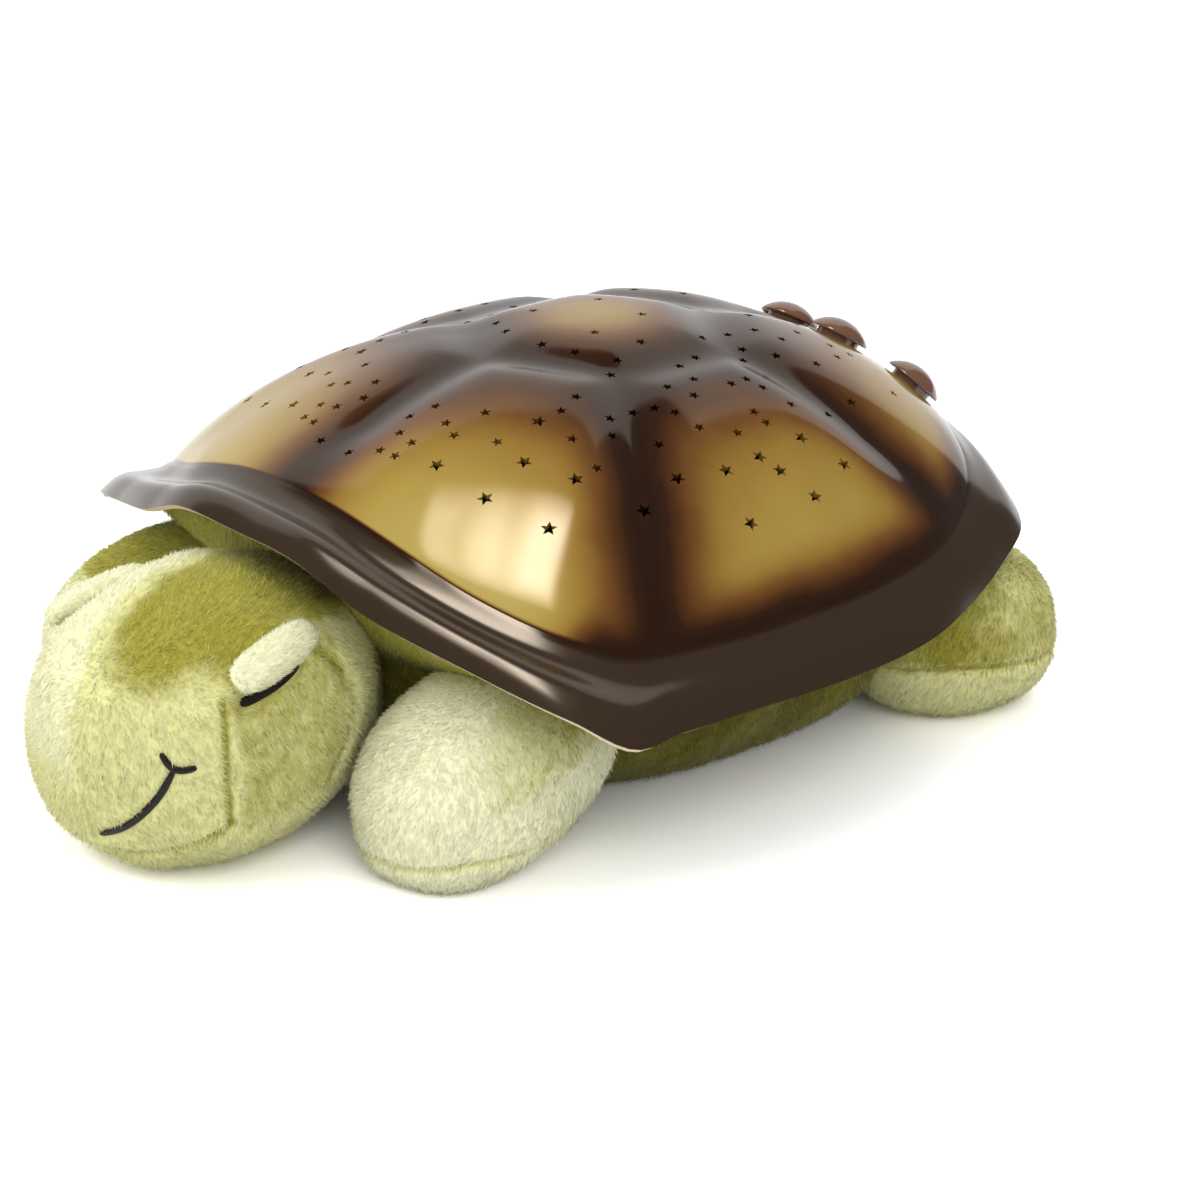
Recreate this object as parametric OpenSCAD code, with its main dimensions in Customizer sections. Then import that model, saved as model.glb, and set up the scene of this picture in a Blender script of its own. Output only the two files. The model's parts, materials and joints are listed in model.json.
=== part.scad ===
// Star night light projector: a plush turtle that carries a moulded shell pierced with stars.
// The turtle faces -Y, its left side is +X, and it lies on the plane Z = 0.

/* [Shell] */
// Width of the shell across its flanks
shell_w = 304; // [290:2:320]
// Height of the dome's crown above the surface that the turtle lies on
dome_h = 146; // [142:1:156]
// Wall of the shell
shell_wall = 2.2; // [1.8:0.1:3]
// Depth of the grooves between the plates
groove_depth = 4; // [0:0.5:5]
// Width of a groove from its floor to its shoulder
groove_w = 9; // [6:1:12]
// Corner radius of the hexagonal centre plate
hex_r = 50; // [44:1:56]
// Height of the rolled lip along the brim
lip_h = 2.5; // [0:0.5:4]
// Size of the large star holes from point to point
big_star = 6; // [4:0.2:7]
// Size of the small star holes from point to point
small_star = 4.6; // [3:0.2:6]

/* [Buttons] */
// Diameter of a button's dome
cap_d = 23; // [20:0.5:24]
// Height of a button's dome above its flat underside
cap_h = 6.4; // [4:0.2:8]
// Diameter of the skirt that guides a button in the shell
skirt_d = 16.6; // [14:0.2:17.6]
// How far a button travels when it is pressed
press_travel = 1; // [0.6:0.1:1.4]
// Radial clearance between a skirt and its bore
guide_gap = 0.3; // [0.2:0.05:0.5]

/* [Lamp base] */
// Height of the base's flange above the surface that the turtle lies on
flange_z = 72; // [70:1:76]
// Outer radius of the flange
flange_r = 103; // [101:1:106]
// Radius of the screws that hold the shell, ring and base together
screw_circle_r = 97; // [95:0.5:98]
// Wall of the base
base_wall = 2.2; // [1.8:0.1:3]
// Radius of the base's flat floor
floor_r = 68; // [67:1:72]
// Height of the base's underside, which is the thickness of the belly padding
belly_pad = 16; // [14:1:20]
// Height of the lamp post above the base's floor
post_h = 34; // [24:1:44]
// Diameter of a lamp diode
diode_d = 5; // [3:0.5:8]

/* [Batteries] */
// Diameter of a battery cell
cell_d = 10.5; // [9:0.1:12]
// Length of a battery cell without its button
cell_len = 43.7; // [40:0.1:46]
// Distance between the cells' axes
cell_pitch = 11.6; // [11:0.1:13]
// Wall of the battery bay
bay_wall = 2.2; // [1.8:0.1:3]
// Gap around the battery door
door_gap = 0.3; // [0.2:0.05:0.6]

/* [Plush] */
// Half width of the head
head_w = 53; // [48:1:58]
// Half length of the head
head_len = 59; // [54:1:66]
// Height of the head's middle
head_z = 44; // [42:1:46]
// How far the head is turned to the turtle's left
head_turn = 12; // [0:1:16]
// Length of a front flipper
front_flipper_len = 92; // [84:2:98]
// Width of a front flipper
front_flipper_w = 68; // [62:2:72]
// Length of a rear flipper
rear_flipper_len = 76; // [70:2:84]
// Width of a rear flipper
rear_flipper_w = 66; // [58:2:70]
// Half width of the body cushion
torso_w = 105; // [104:1:110]
// Half length of the body cushion
torso_len = 122; // [118:1:128]
// Length of the tail
tail_len = 52; // [44:2:56]
// Thickness of the belly flap
flap_t = 2.2; // [1.6:0.1:2.6]

/* [Hidden] */
$fn = 48;
eps = 0.01;
plastic = [0.28, 0.16, 0.10];
dark_plastic = [0.16, 0.10, 0.07];
plush = [0.66, 0.68, 0.42];
steel = [0.75, 0.75, 0.77];
board_green = [0.10, 0.35, 0.18];

// ---------------------------------------------------------------- shell surface
// Half of the shell's outline: bearing from the nose, rim radius and height, dome foot radius
// and height. The other half mirrors it.
OUTLINE = [
  [0, 156, 101, 132, 111], [12, 159, 100, 134, 109], [23, 163, 89, 139, 103], [36, 171, 79, 147, 92],
  [48, 185, 69, 156, 83], [54, 189, 61, 157, 79], [59, 176, 60, 152, 78], [70, 162, 60, 144, 78],
  [84, 154, 60, 137, 79], [98, 151, 61, 135, 80], [112, 148, 63, 135, 82], [124, 150, 67, 134, 85],
  [134, 154, 71, 134, 89], [146, 150, 76, 133, 93], [163, 147, 80, 133, 96], [180, 148, 79, 132, 97]];
RIM_R = 1;
RIM_Z = 2;
FOOT_R = 3;
FOOT_Z = 4;
outline_w = 304;
plan_k = shell_w / outline_w;
last_row = len(OUTLINE) - 1;

function polar(r, a) = [r * sin(a), -r * cos(a)];
function wrap(a) = let (m = a % 360) m > 180 ? m - 360 : m < -180 ? m + 360 : m;
function smooth(x) = let (u = max(0, min(1, x))) u * u * (3 - 2 * u);
function row_before(t, i = 0) = i == last_row - 1 || t < OUTLINE[i + 1][0] ? i : row_before(t, i + 1);
function row_slope(i, k) = i == 0 || i == last_row ? 0
  : (OUTLINE[i + 1][k] - OUTLINE[i - 1][k]) / (OUTLINE[i + 1][0] - OUTLINE[i - 1][0]);
// A smooth curve through the outline's rows, by bearing
function outline(a, k) =
  let (t = abs(wrap(a)), i = row_before(t), p = OUTLINE[i], q = OUTLINE[i + 1], h = q[0] - p[0],
       u = (t - p[0]) / h, scale_k = k == RIM_R || k == FOOT_R ? plan_k : 1)
  scale_k * ((2*u*u*u - 3*u*u + 1) * p[k] + (u*u*u - 2*u*u + u) * h * row_slope(i, k)
    + (3*u*u - 2*u*u*u) * q[k] + (u*u*u - u*u) * h * row_slope(i + 1, k));

// Grooves: the six sides of the centre plate and the six spokes from its corners to the brim.
// The rear spoke stops above the buttons.
spoke_r = 150 * plan_k;
rear_spoke_r = 78 * plan_k;
SPOKE_TURNS = [0, -2, -3, 0, 3, 2];
function groove_end(i) = polar(i == 3 ? rear_spoke_r : spoke_r, 60 * i + SPOKE_TURNS[i]);
GROOVES = [for (i = [0:5]) [polar(hex_r, 60 * i), polar(hex_r, 60 * (i + 1))],
           for (i = [0:5]) [polar(hex_r, 60 * i), groove_end(i)]];
function reach(p, v) = let (d = v[1] - v[0], u = max(0, min(1, ((p - v[0]) * d) / (d * d))))
  norm(p - v[0] - u * d);
function groove(p) = let (d = min([for (v = GROOVES) reach(p, v)])) exp(-d * d / (groove_w * groove_w));

// Outer surface: q runs from 0 at the crown to 1 at the dome's foot and on to 2 at the rim
crown_power = 2.2;
crown_root = 0.87;
brim_power = 1.3;
function skin(a, q) =
  let (s = min(q, 1), b = max(q - 1, 0), foot_r = outline(a, FOOT_R), foot_z = outline(a, FOOT_Z),
       p = polar(s * foot_r + b * (outline(a, RIM_R) - foot_r), a),
       dome = foot_z + (dome_h - foot_z) * pow(1 - pow(s, crown_power), crown_root)
              - groove_depth * groove(p) * smooth((1 - s) * 4),
       lip = lip_h * sin(360 * b) * (1 - 0.6 * smooth((abs(wrap(a)) - 30) / 50)),
       brim = foot_z + (outline(a, RIM_Z) - foot_z) * pow(b, brim_power) - lip)
  [p[0], p[1], q <= 1 ? dome : brim];
function share_at(p) = norm(p) / outline(atan2(p[0], -p[1]), FOOT_R);
function bearing(p) = atan2(p[0], -p[1]);
function facing(a, q) =
  let (out = skin(a, min(q + 0.01, 2)) - skin(a, max(q - 0.01, 0.001)),
       round = skin(a + 1, q) - skin(a - 1, q), n = cross(out, round))
  n / norm(n);

// Puts its children on the shell above plan point p, with +Z along the shell's outward normal
// and +Y up the slope
module on_shell(p) {
  a = bearing(p);
  n = facing(a, share_at(p));
  translate(skin(a, share_at(p)))
    rotate([0, acos(n[2]), atan2(n[1], n[0])]) rotate(90) children();
}

// ---------------------------------------------------------------- star holes
// Plan places of the stars of one half; the other half mirrors them
BIG_STARS = [[86, -91], [63, -99], [41, -102], [78, -73], [61, -81], [50, -66], [113, -27],
  [111, 4], [96, -23], [95, -7], [101, -3], [95, -58], [92, -41], [103, 25], [92, 15]];
FRONT_STARS = [[78, -64], [48, -82], [35, -90], [28, -88], [26, -101], [26, -108], [19, -109],
  [18, -100], [13, -92], [17, -84], [64, -63], [51, -57], [48, -48], [8, -114], [34, -76]];
SIDE_STARS = [[84, 6], [79, 5], [85, -8], [79, -20], [78, -37], [68, -49], [61, -44], [61, -34],
  [64, -27], [70, -23], [78, 23], [80, 39], [76, 54], [68, 83], [66, -11], [58, -4], [65, 7],
  [64, 15], [69, 18]];
CROWN_STARS = [[17, -14], [10, -32], [22, -27], [30, -4], [35, -19], [40, -26], [58, -16],
  [46, 0], [43, 10], [31, 36], [33, 22], [12, 12]];
REAR_STARS = [[49, 27], [43, 32], [51, 41], [58, 54], [51, 71], [45, 83], [41, 77], [42, 52],
  [34, 67], [33, 47], [18, 58], [22, 78]];
point_share = 0.44;
module star(size)
  polygon([for (i = [0:9]) let (r = size / 2 * (i % 2 == 0 ? 1 : point_share))
    [r * sin(36 * i), r * cos(36 * i)]]);
module star_cuts(places, size)
  for (i = [0:len(places) - 1]) for (side = [-1, 1])
    on_shell([side * places[i][0], places[i][1]] * plan_k)
      rotate(27 * i) linear_extrude(4 * shell_wall, center = true) star(size);

// ---------------------------------------------------------------- buttons
BUTTONS = [[-38, 121.5], [-13.5, 107], [13.5, 107], [38, 121.5]];
collar_r = skirt_d / 2 + guide_gap + 2.4;
collar_top = -1;
collar_foot = -5;
can_r = skirt_d / 2 + 1.5;
cap_lift = press_travel + 0.6;
hook_reach = 1;
hook_top = collar_foot - 0.3;
skirt_foot = hook_top - 1.3;
stem_foot = skirt_foot - 1.6;
plunger_gap = press_travel + 0.3;
plunger_top = stem_foot - plunger_gap;
switch_h = 3.4;
plunger_h = 0.9;
board_t = 1.6;
board_top = plunger_top - plunger_h - switch_h;
ear_r = collar_r + 1.6;
ear_hole_r = 0.8;
boss_r = 4;
boss_hole_r = 1.3;
boss_hole_depth = 16;
flange_t = 2.4;
SCREW_BEARINGS = [for (i = [0:5]) 30 + 60 * i];

module shell_blank() {
  columns = 60;
  dome_rings = 12;
  brim_rings = 5;
  shares = [for (i = [1:dome_rings]) sin(90 * i / dome_rings), for (i = [1:brim_rings]) 1 + i / brim_rings];
  rings = len(shares);
  count = rings * columns;
  outer = [for (q = shares) for (j = [0:columns - 1]) skin(360 * j / columns, q)];
  inner = [for (q = shares) for (j = [0:columns - 1])
    skin(360 * j / columns, q) - shell_wall * facing(360 * j / columns, q)];
  crown = skin(0, 0);
  function at(i, j, base) = base + i * columns + j % columns;
  strips = [for (base = [0, count]) for (i = [0:rings - 2]) for (j = [0:columns - 1])
    let (a = at(i, j, base), b = at(i, j + 1, base), c = at(i + 1, j + 1, base), d = at(i + 1, j, base))
    each base == 0 ? [[a, b, c], [a, c, d]] : [[a, c, b], [a, d, c]]];
  caps = [for (j = [0:columns - 1]) each [[2 * count, at(0, j + 1, 0), at(0, j, 0)],
    [2 * count + 1, at(0, j, count), at(0, j + 1, count)]]];
  edge = [for (j = [0:columns - 1]) let (a = at(rings - 1, j, 0), b = at(rings - 1, j + 1, 0))
    each [[a, b, b + count], [a, b + count, a + count]]];
  polyhedron(concat(outer, inner, [crown, crown - [0, 0, shell_wall]]), concat(strips, caps, edge));
}

// A screw boss that hangs from the shell and is trimmed to the slope inside its wall
module shell_boss(a) {
  p = polar(screw_circle_r, a);
  intersection() {
    translate([p[0], p[1], flange_z + flange_t]) cylinder(r = boss_r, h = dome_h - flange_z);
    on_shell(p) translate([-20, -20, -90 - shell_wall / 2]) cube([40, 40, 90]);
  }
}

module star_shell() color(plastic) difference() {
  union() {
    difference() {
      shell_blank();
      star_cuts(BIG_STARS, big_star);
      star_cuts(FRONT_STARS, small_star);
      star_cuts(SIDE_STARS, small_star);
      star_cuts(CROWN_STARS, small_star);
      star_cuts(REAR_STARS, small_star);
    }
    for (a = SCREW_BEARINGS) shell_boss(a);
    for (p = BUTTONS) on_shell(p) {
      translate([0, 0, board_top]) cylinder(r = collar_r, h = collar_top - board_top);
      for (side = [-1, 1]) translate([0, side * ear_r, board_top]) cylinder(r = 2.4, h = -6 - board_top);
    }
  }
  for (a = SCREW_BEARINGS) translate(concat(polar(screw_circle_r, a), flange_z))
    cylinder(r = boss_hole_r, h = boss_hole_depth);
  for (p = BUTTONS) on_shell(p) {
    translate([0, 0, collar_foot - eps]) cylinder(r = skirt_d / 2 + guide_gap, h = 20);
    translate([0, 0, board_top - eps]) cylinder(r = can_r, h = collar_foot - board_top + eps);
    for (side = [-1, 1]) translate([0, side * ear_r, board_top - eps]) cylinder(r = ear_hole_r, h = 6);
  }
}

// A button: a domed cap, a skirt with two hooks behind the collar, and a stem over the switch
module button(i) on_shell(BUTTONS[i]) {
  edge_h = 0.8;
  rise = cap_h - edge_h;
  ball_r = (cap_d * cap_d / 4 + rise * rise) / (2 * rise);
  translate([0, 0, cap_lift]) cylinder(d = cap_d, h = edge_h);
  intersection() {
    translate([0, 0, cap_lift + cap_h - ball_r]) sphere(r = ball_r);
    translate([0, 0, cap_lift + edge_h]) cylinder(d = cap_d, h = cap_h);
  }
  difference() {
    translate([0, 0, skirt_foot]) cylinder(d = skirt_d, h = cap_lift - skirt_foot);
    translate([0, 0, skirt_foot - eps]) cylinder(d = skirt_d - 2.8, h = cap_lift - skirt_foot + eps);
  }
  intersection() {
    difference() {
      translate([0, 0, skirt_foot]) cylinder(d = skirt_d + 2 * hook_reach, h = hook_top - skirt_foot);
      translate([0, 0, skirt_foot - eps]) cylinder(d = skirt_d - 2.8, h = 3);
    }
    translate([-20, -3, skirt_foot - 1]) cube([40, 6, 4]);
  }
  translate([0, 0, stem_foot]) cylinder(d = 3.6, h = cap_lift - stem_foot);
}
module power_button() color(dark_plastic) button(0);
module amber_button() color(dark_plastic) button(1);
module green_button() color(dark_plastic) button(2);
module blue_button() color(dark_plastic) button(3);

module switch_boards() color(board_green) for (p = BUTTONS) on_shell(p)
  translate([0, 0, board_top - board_t]) linear_extrude(board_t) difference() {
    union() {
      circle(r = collar_r);
      square([7, 2 * ear_r], center = true);
      for (side = [-1, 1]) translate([0, side * ear_r]) circle(r = 3.5);
    }
    for (side = [-1, 1]) translate([0, side * ear_r]) circle(r = ear_hole_r + 0.3);
  }
module push_switches() color("black") for (p = BUTTONS) on_shell(p) {
  translate([-3.1, -3.1, board_top]) cube([6.2, 6.2, switch_h]);
  translate([0, 0, board_top + switch_h]) cylinder(d = 3.4, h = plunger_h);
}
module switch_screws() color(steel) for (p = BUTTONS) on_shell(p) for (side = [-1, 1])
  translate([0, side * ear_r, board_top - board_t]) {
    translate([0, 0, -1.2]) cylinder(r = 1.7, h = 1.2);
    cylinder(r = ear_hole_r - 0.1, h = board_t + 5);
  }

// ---------------------------------------------------------------- lamp base and batteries
BAY = [0, 37];
bay_x = cell_len / 2 + 4.6;
bay_y = 1.5 * cell_pitch + 0.6;
door_t = 2;
rib_h = 0.8;
floor_top = belly_pad + 2.4;
cell_z = belly_pad + door_t + rib_h + cell_d / 2;
bay_roof = cell_z + cell_d / 2 + 0.2;
ledge = 2;
tab_w = 12;
tab_len = 9;
door_screw_y = BAY[1] + bay_y + ledge + tab_len / 2;
post_r = 8;
post_top = floor_top + post_h;
seat_w = 34;
seat_d = 12;
seat_h = 5;
led_screw_x = 13;
bay_outlet_x = 18;
flange_inner_r = flange_r - 11;

function base_outline() = [[0, belly_pad], [floor_r, belly_pad], [flange_inner_r, flange_z],
  [flange_r, flange_z], [flange_r, flange_z + flange_t],
  [flange_inner_r - base_wall / 2, flange_z + flange_t],
  [floor_r - base_wall / 2, floor_top], [0, floor_top]];

module door_outline(gap) translate(BAY) {
  square([2 * (bay_x + ledge - gap), 2 * (bay_y + ledge - gap)], center = true);
  translate([0, bay_y + ledge + tab_len / 2 - gap]) square([tab_w - 2 * gap, tab_len], center = true);
}

module lamp_base() color([0.85, 0.85, 0.82]) difference() {
  union() {
    rotate_extrude() polygon(base_outline());
    translate([BAY[0] - bay_x - bay_wall, BAY[1] - bay_y - bay_wall, floor_top - eps])
      cube([2 * (bay_x + bay_wall), 2 * (bay_y + bay_wall), bay_roof + bay_wall - floor_top]);
    translate([BAY[0], door_screw_y, floor_top - eps]) cylinder(r = 3.6, h = 10);
    translate([0, 0, floor_top - eps]) cylinder(r = post_r, h = post_h + eps);
    translate([-seat_w / 2, -seat_d / 2, post_top - seat_h]) cube([seat_w, seat_d, seat_h]);
  }
  translate([BAY[0] - bay_x, BAY[1] - bay_y, belly_pad - 1])
    cube([2 * bay_x, 2 * bay_y, bay_roof - belly_pad + 1]);
  translate([0, 0, belly_pad - 1]) linear_extrude(1 + door_t) door_outline(0);
  translate([BAY[0], door_screw_y, belly_pad - 1]) cylinder(r = 1.1, h = 10);
  for (side = [-1, 1]) translate([side * led_screw_x, 0, post_top - seat_h - 1])
    cylinder(r = 1.1, h = seat_h + 2);
  for (a = SCREW_BEARINGS) translate(concat(polar(screw_circle_r, a), flange_z - 1))
    cylinder(r = 1.8, h = flange_t + 2);
  for (side = [-1, 1]) translate([side * bay_outlet_x, BAY[1] - bay_y - bay_wall - 1, bay_roof - 4])
    rotate([-90, 0, 0]) cylinder(r = 1.2, h = bay_wall + 2);
}
ring_t = 2.4;
ring_r = screw_circle_r;
ring_w = 9;
module fabric_ring() color([0.85, 0.85, 0.82]) translate([0, 0, flange_z - ring_t]) difference() {
  cylinder(r = ring_r + ring_w / 2, h = ring_t);
  translate([0, 0, -1]) cylinder(r = ring_r - ring_w / 2, h = ring_t + 2);
  for (a = SCREW_BEARINGS) translate(concat(polar(screw_circle_r, a), -1)) cylinder(r = 1.8, h = ring_t + 2);
}
module shell_screws() color(steel) for (a = SCREW_BEARINGS)
  translate(concat(polar(screw_circle_r, a), flange_z - ring_t)) {
    translate([0, 0, -2]) cylinder(r = 3, h = 2);
    cylinder(r = boss_hole_r - 0.1, h = ring_t + flange_t + 11);
  }

module led_board() color(board_green) translate([0, 0, post_top]) linear_extrude(board_t) difference() {
  square([seat_w + 2, 28], center = true);
  for (side = [-1, 1]) translate([side * led_screw_x, 0]) circle(r = 1.5);
}
module led(i) {
  flange = diode_d / 2 + 0.4;
  translate(concat(polar(1.3 * diode_d, 120 * i + 180), post_top + board_t)) {
    cylinder(r = flange, h = 1);
    cylinder(d = diode_d, h = 1.2 * diode_d);
    translate([0, 0, 1.2 * diode_d]) intersection() {
      sphere(d = diode_d);
      cylinder(d = diode_d, h = diode_d);
    }
  }
}
module amber_led() color("orange") led(0);
module green_led() color("limegreen") led(1);
module blue_led() color("dodgerblue") led(2);
module led_screws() color(steel) for (side = [-1, 1])
  translate([side * led_screw_x, 0, post_top + board_t]) {
  cylinder(r = 2.2, h = 1.5);
  translate([0, 0, -board_t - 4]) cylinder(r = 1, h = board_t + 4);
}
module control_chip() color("black") translate([-4, -12, post_top + board_t]) cube([8, 4, 1.6]);

contact_t = 0.5;
module cell(i) {
  turn = i == 1 ? 180 : 0;
  translate([BAY[0], BAY[1] + (i - 1) * cell_pitch, cell_z]) rotate(turn) rotate([0, 90, 0]) {
    translate([0, 0, -bay_x + 8]) cylinder(d = cell_d, h = 2 * bay_x - contact_t - 9);
    translate([0, 0, bay_x - contact_t - 1]) cylinder(r = 1.9, h = 1);
  }
}
module battery_cell_1() color("dimgray") cell(0);
module battery_cell_2() color("dimgray") cell(1);
module battery_cell_3() color("dimgray") cell(2);
module contact_plates() color(steel) for (side = [-1, 1]) for (i = [-1:1])
  translate([BAY[0] + side * (bay_x - contact_t / 2), BAY[1] + i * cell_pitch, cell_z])
    cube([contact_t, cell_pitch - 1.6, cell_d - 1], center = true);

// A conical wire spring along +Z, swept as rings around a helix that flattens at both ends
module coil(length, foot_r, tip_r, turns, wire) {
  sides = 4;
  steps = 9 * turns;
  centres = [for (k = [0:steps]) let (u = k / steps, r = foot_r + (tip_r - foot_r) * u)
    [r * cos(360 * turns * u), r * sin(360 * turns * u), wire / 2 + (length - wire) * smooth(u)]];
  points = [for (k = [0:steps]) let (u = 360 * turns * k / steps) for (s = [0:sides - 1])
    centres[k] + wire / 2 * [cos(u) * cos(90 * s), sin(u) * cos(90 * s), sin(90 * s)]];
  faces = concat([for (k = [0:steps - 1]) for (s = [0:sides - 1])
      let (a = k * sides + s, b = k * sides + (s + 1) % sides)
      each [[a, b, b + sides], [a, b + sides, a + sides]]],
    [[for (s = [0:sides - 1]) sides - 1 - s]], [[for (s = [0:sides - 1]) steps * sides + s]]);
  polyhedron(points, faces);
}
module contact_springs() color(steel) for (i = [0:2])
  translate([BAY[0], BAY[1] + (i - 1) * cell_pitch, cell_z]) rotate(i == 1 ? 180 : 0)
    translate([-bay_x + contact_t, 0, 0]) rotate([0, 90, 0]) coil(8 - contact_t, 4, 2.4, 3, 0.6);

module battery_door() color([0.85, 0.85, 0.82]) difference() {
  union() {
    translate([0, 0, belly_pad]) linear_extrude(door_t) door_outline(door_gap);
    for (side = [-1, 1]) translate([BAY[0] + side * 12 - 1, BAY[1] - bay_y + 1, belly_pad + door_t - eps])
      cube([2, 2 * bay_y - 2, rib_h + eps]);
  }
  translate([BAY[0], door_screw_y, belly_pad - 1]) cylinder(r = 1.5, h = door_t + 2);
}
module battery_door_screw() color(steel) translate([BAY[0], door_screw_y, belly_pad]) {
  translate([0, 0, -1.4]) cylinder(r = 2.6, h = 1.4);
  cylinder(r = 1, h = 8);
}

// ---------------------------------------------------------------- leads
// A wire swept along a smooth curve through hand-placed points
function bend(pts, i, u) =
  let (last = len(pts) - 1, p = pts[i], q = pts[i + 1], m = (q - pts[max(i - 1, 0)]) / 2,
       n = (pts[min(i + 2, last)] - p) / 2)
  (2*u*u*u - 3*u*u + 1) * p + (u*u*u - 2*u*u + u) * m + (3*u*u - 2*u*u*u) * q + (u*u*u - u*u) * n;
module lead(pts, d) {
  sides = 5;
  steps = 3;
  route = [for (i = [0:len(pts) - 2]) for (k = [0:steps - 1]) bend(pts, i, k / steps), pts[len(pts) - 1]];
  last = len(route) - 1;
  rings = [for (k = [0:last])
    let (t = route[min(k + 1, last)] - route[max(k - 1, 0)], u = cross(t, [0.31, 0.17, 0.94]),
         x = u / norm(u), w = cross(t, x), y = w / norm(w))
    for (s = [0:sides - 1]) route[k] + d / 2 * (x * cos(72 * s) + y * sin(72 * s))];
  faces = concat([for (k = [0:last - 1]) for (s = [0:sides - 1])
      let (a = k * sides + s, b = k * sides + (s + 1) % sides)
      each [[a, b + sides, b], [a, a + sides, b + sides]]],
    [[for (s = [0:sides - 1]) s]], [[for (s = [0:sides - 1]) last * sides + sides - 1 - s]]);
  polyhedron(rings, faces);
}
lead_d = 1.6;
lead_end = post_top - 0.1;
module battery_leads() color("crimson") for (side = [-1, 1])
  lead([[side * bay_outlet_x, BAY[1] - bay_y - bay_wall - 0.2, bay_roof - 4], [side * 19, 8, bay_roof - 2],
    [side * 20, -4, floor_top + 18], [side * 10, -10, lead_end - 4], [side * 10, -10, lead_end]], lead_d);
module switch_leads() color("steelblue") for (i = [0:3]) {
  p = BUTTONS[i];
  a = bearing(p);
  foot = skin(a, share_at(p)) + (board_top - board_t - 0.2) * facing(a, share_at(p));
  lead([foot, foot + [0, -8, -8], [foot[0] * 0.9, 70, flange_z - 2], [foot[0] * 0.6, 36, lead_end - 1],
    [foot[0] / 4, 17, lead_end - 6], [foot[0] / 4, 10, lead_end - 4], [foot[0] / 4, 10, lead_end]], lead_d);
}

// ---------------------------------------------------------------- plush
// A stuffed form: rounded in plan by power e and in side view by power f, raised by lift at its
// rear end and lowered by it at its front end, and cut flat at the floor
function spow(x, e) = sign(x) * pow(abs(x), e);
module puff(centre, half, e = 2, f = 2, turn = 0, taper = 0, rings = 12, columns = 24, lift = 0) {
  function ball(i, j) = let (v = 180 * i / rings - 90, w = 360 * j / columns,
    x = half[0] * spow(cos(v), 2 / f) * spow(cos(w), 2 / e),
    y = half[1] * spow(cos(v), 2 / f) * spow(sin(w), 2 / e))
    [x * (1 + taper * y / half[1]), y, half[2] * spow(sin(v), 2 / f)];
  function place(p) = [centre[0] + p[0] * cos(turn) - p[1] * sin(turn),
    centre[1] + p[0] * sin(turn) + p[1] * cos(turn), max(0, centre[2] + p[2] + lift * p[1] / half[1])];
  count = (rings - 1) * columns;
  points = concat([for (i = [1:rings - 1]) for (j = [0:columns - 1]) place(ball(i, j))],
    [place([0, 0, -half[2]]), place([0, 0, half[2]])]);
  function at(i, j) = i * columns + j % columns;
  polyhedron(points, concat(
    [for (i = [0:rings - 3]) for (j = [0:columns - 1])
      each [[at(i, j), at(i + 1, j + 1), at(i, j + 1)], [at(i, j), at(i + 1, j), at(i + 1, j + 1)]]],
    [for (j = [0:columns - 1]) [count, at(0, j), at(0, j + 1)]],
    [for (j = [0:columns - 1]) [count + 1, at(rings - 2, j + 1), at(rings - 2, j)]]));
}
HEAD_AT = [4, -173, head_z];
head_h = 90;
head_lift = 6;
FRONT_LEFT_AT = [79, -113, 31];
FRONT_RIGHT_AT = [-90, -126, 34];
REAR_FLIPPER_AT = [87, 96, 28];
front_left_turn = 6;
front_right_turn = -25;
front_flipper_h = 62;
front_flipper_lift = 12;
rear_flipper_h = 61;
rear_flipper_turn = -25;
TAIL_ROOT = [0, 108, 22];
tail_w = 34;
tail_h = 28;
module head_form()
  puff(HEAD_AT, [head_w, head_len, head_h / 2], 2.3, 2.4, head_turn, 0, 16, 32, head_lift);
module front_flipper_form(side)
  puff(side > 0 ? FRONT_LEFT_AT : FRONT_RIGHT_AT, [front_flipper_w, front_flipper_len, front_flipper_h] / 2,
    2.5, 2.5, side > 0 ? front_left_turn : front_right_turn, 0, 12, 24, front_flipper_lift);
module rear_flipper_form(side) puff([side * REAR_FLIPPER_AT[0], REAR_FLIPPER_AT[1], REAR_FLIPPER_AT[2]],
  [rear_flipper_w, rear_flipper_len, rear_flipper_h] / 2, 2.5, 2.6, side * rear_flipper_turn, 0, 12, 24);
module tail_form()
  puff(TAIL_ROOT + [0, tail_len / 2, 0], [tail_w, tail_len, tail_h] / 2, 2, 2, 0, -0.4, 8, 16);
module limb_forms() {
  head_form();
  tail_form();
  for (side = [-1, 1]) {
    front_flipper_form(side);
    rear_flipper_form(side);
  }
}

// The body cushion: rounded rings in plan, one above the other
TORSO_RINGS = [[0, 0.70], [5, 0.80], [13, 0.885], [25, 0.95], [40, 0.985], [56, 1], [flange_z, 0.985]];
torso_power = 2.4;
module torso_form() {
  columns = 40;
  rings = len(TORSO_RINGS);
  points = [for (r = TORSO_RINGS) for (j = [0:columns - 1]) let (w = 360 * j / columns)
    [r[1] * torso_w * spow(cos(w), 2 / torso_power), r[1] * torso_len * spow(sin(w), 2 / torso_power),
      r[0]]];
  polyhedron(points, concat([for (i = [0:rings - 2]) for (j = [0:columns - 1])
      let (a = i * columns + j, b = i * columns + (j + 1) % columns)
      each [[a, a + columns, b + columns], [a, b + columns, b]]],
    [[for (j = [0:columns - 1]) j]], [[for (j = [0:columns - 1]) rings * columns - 1 - j]]));
}

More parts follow.
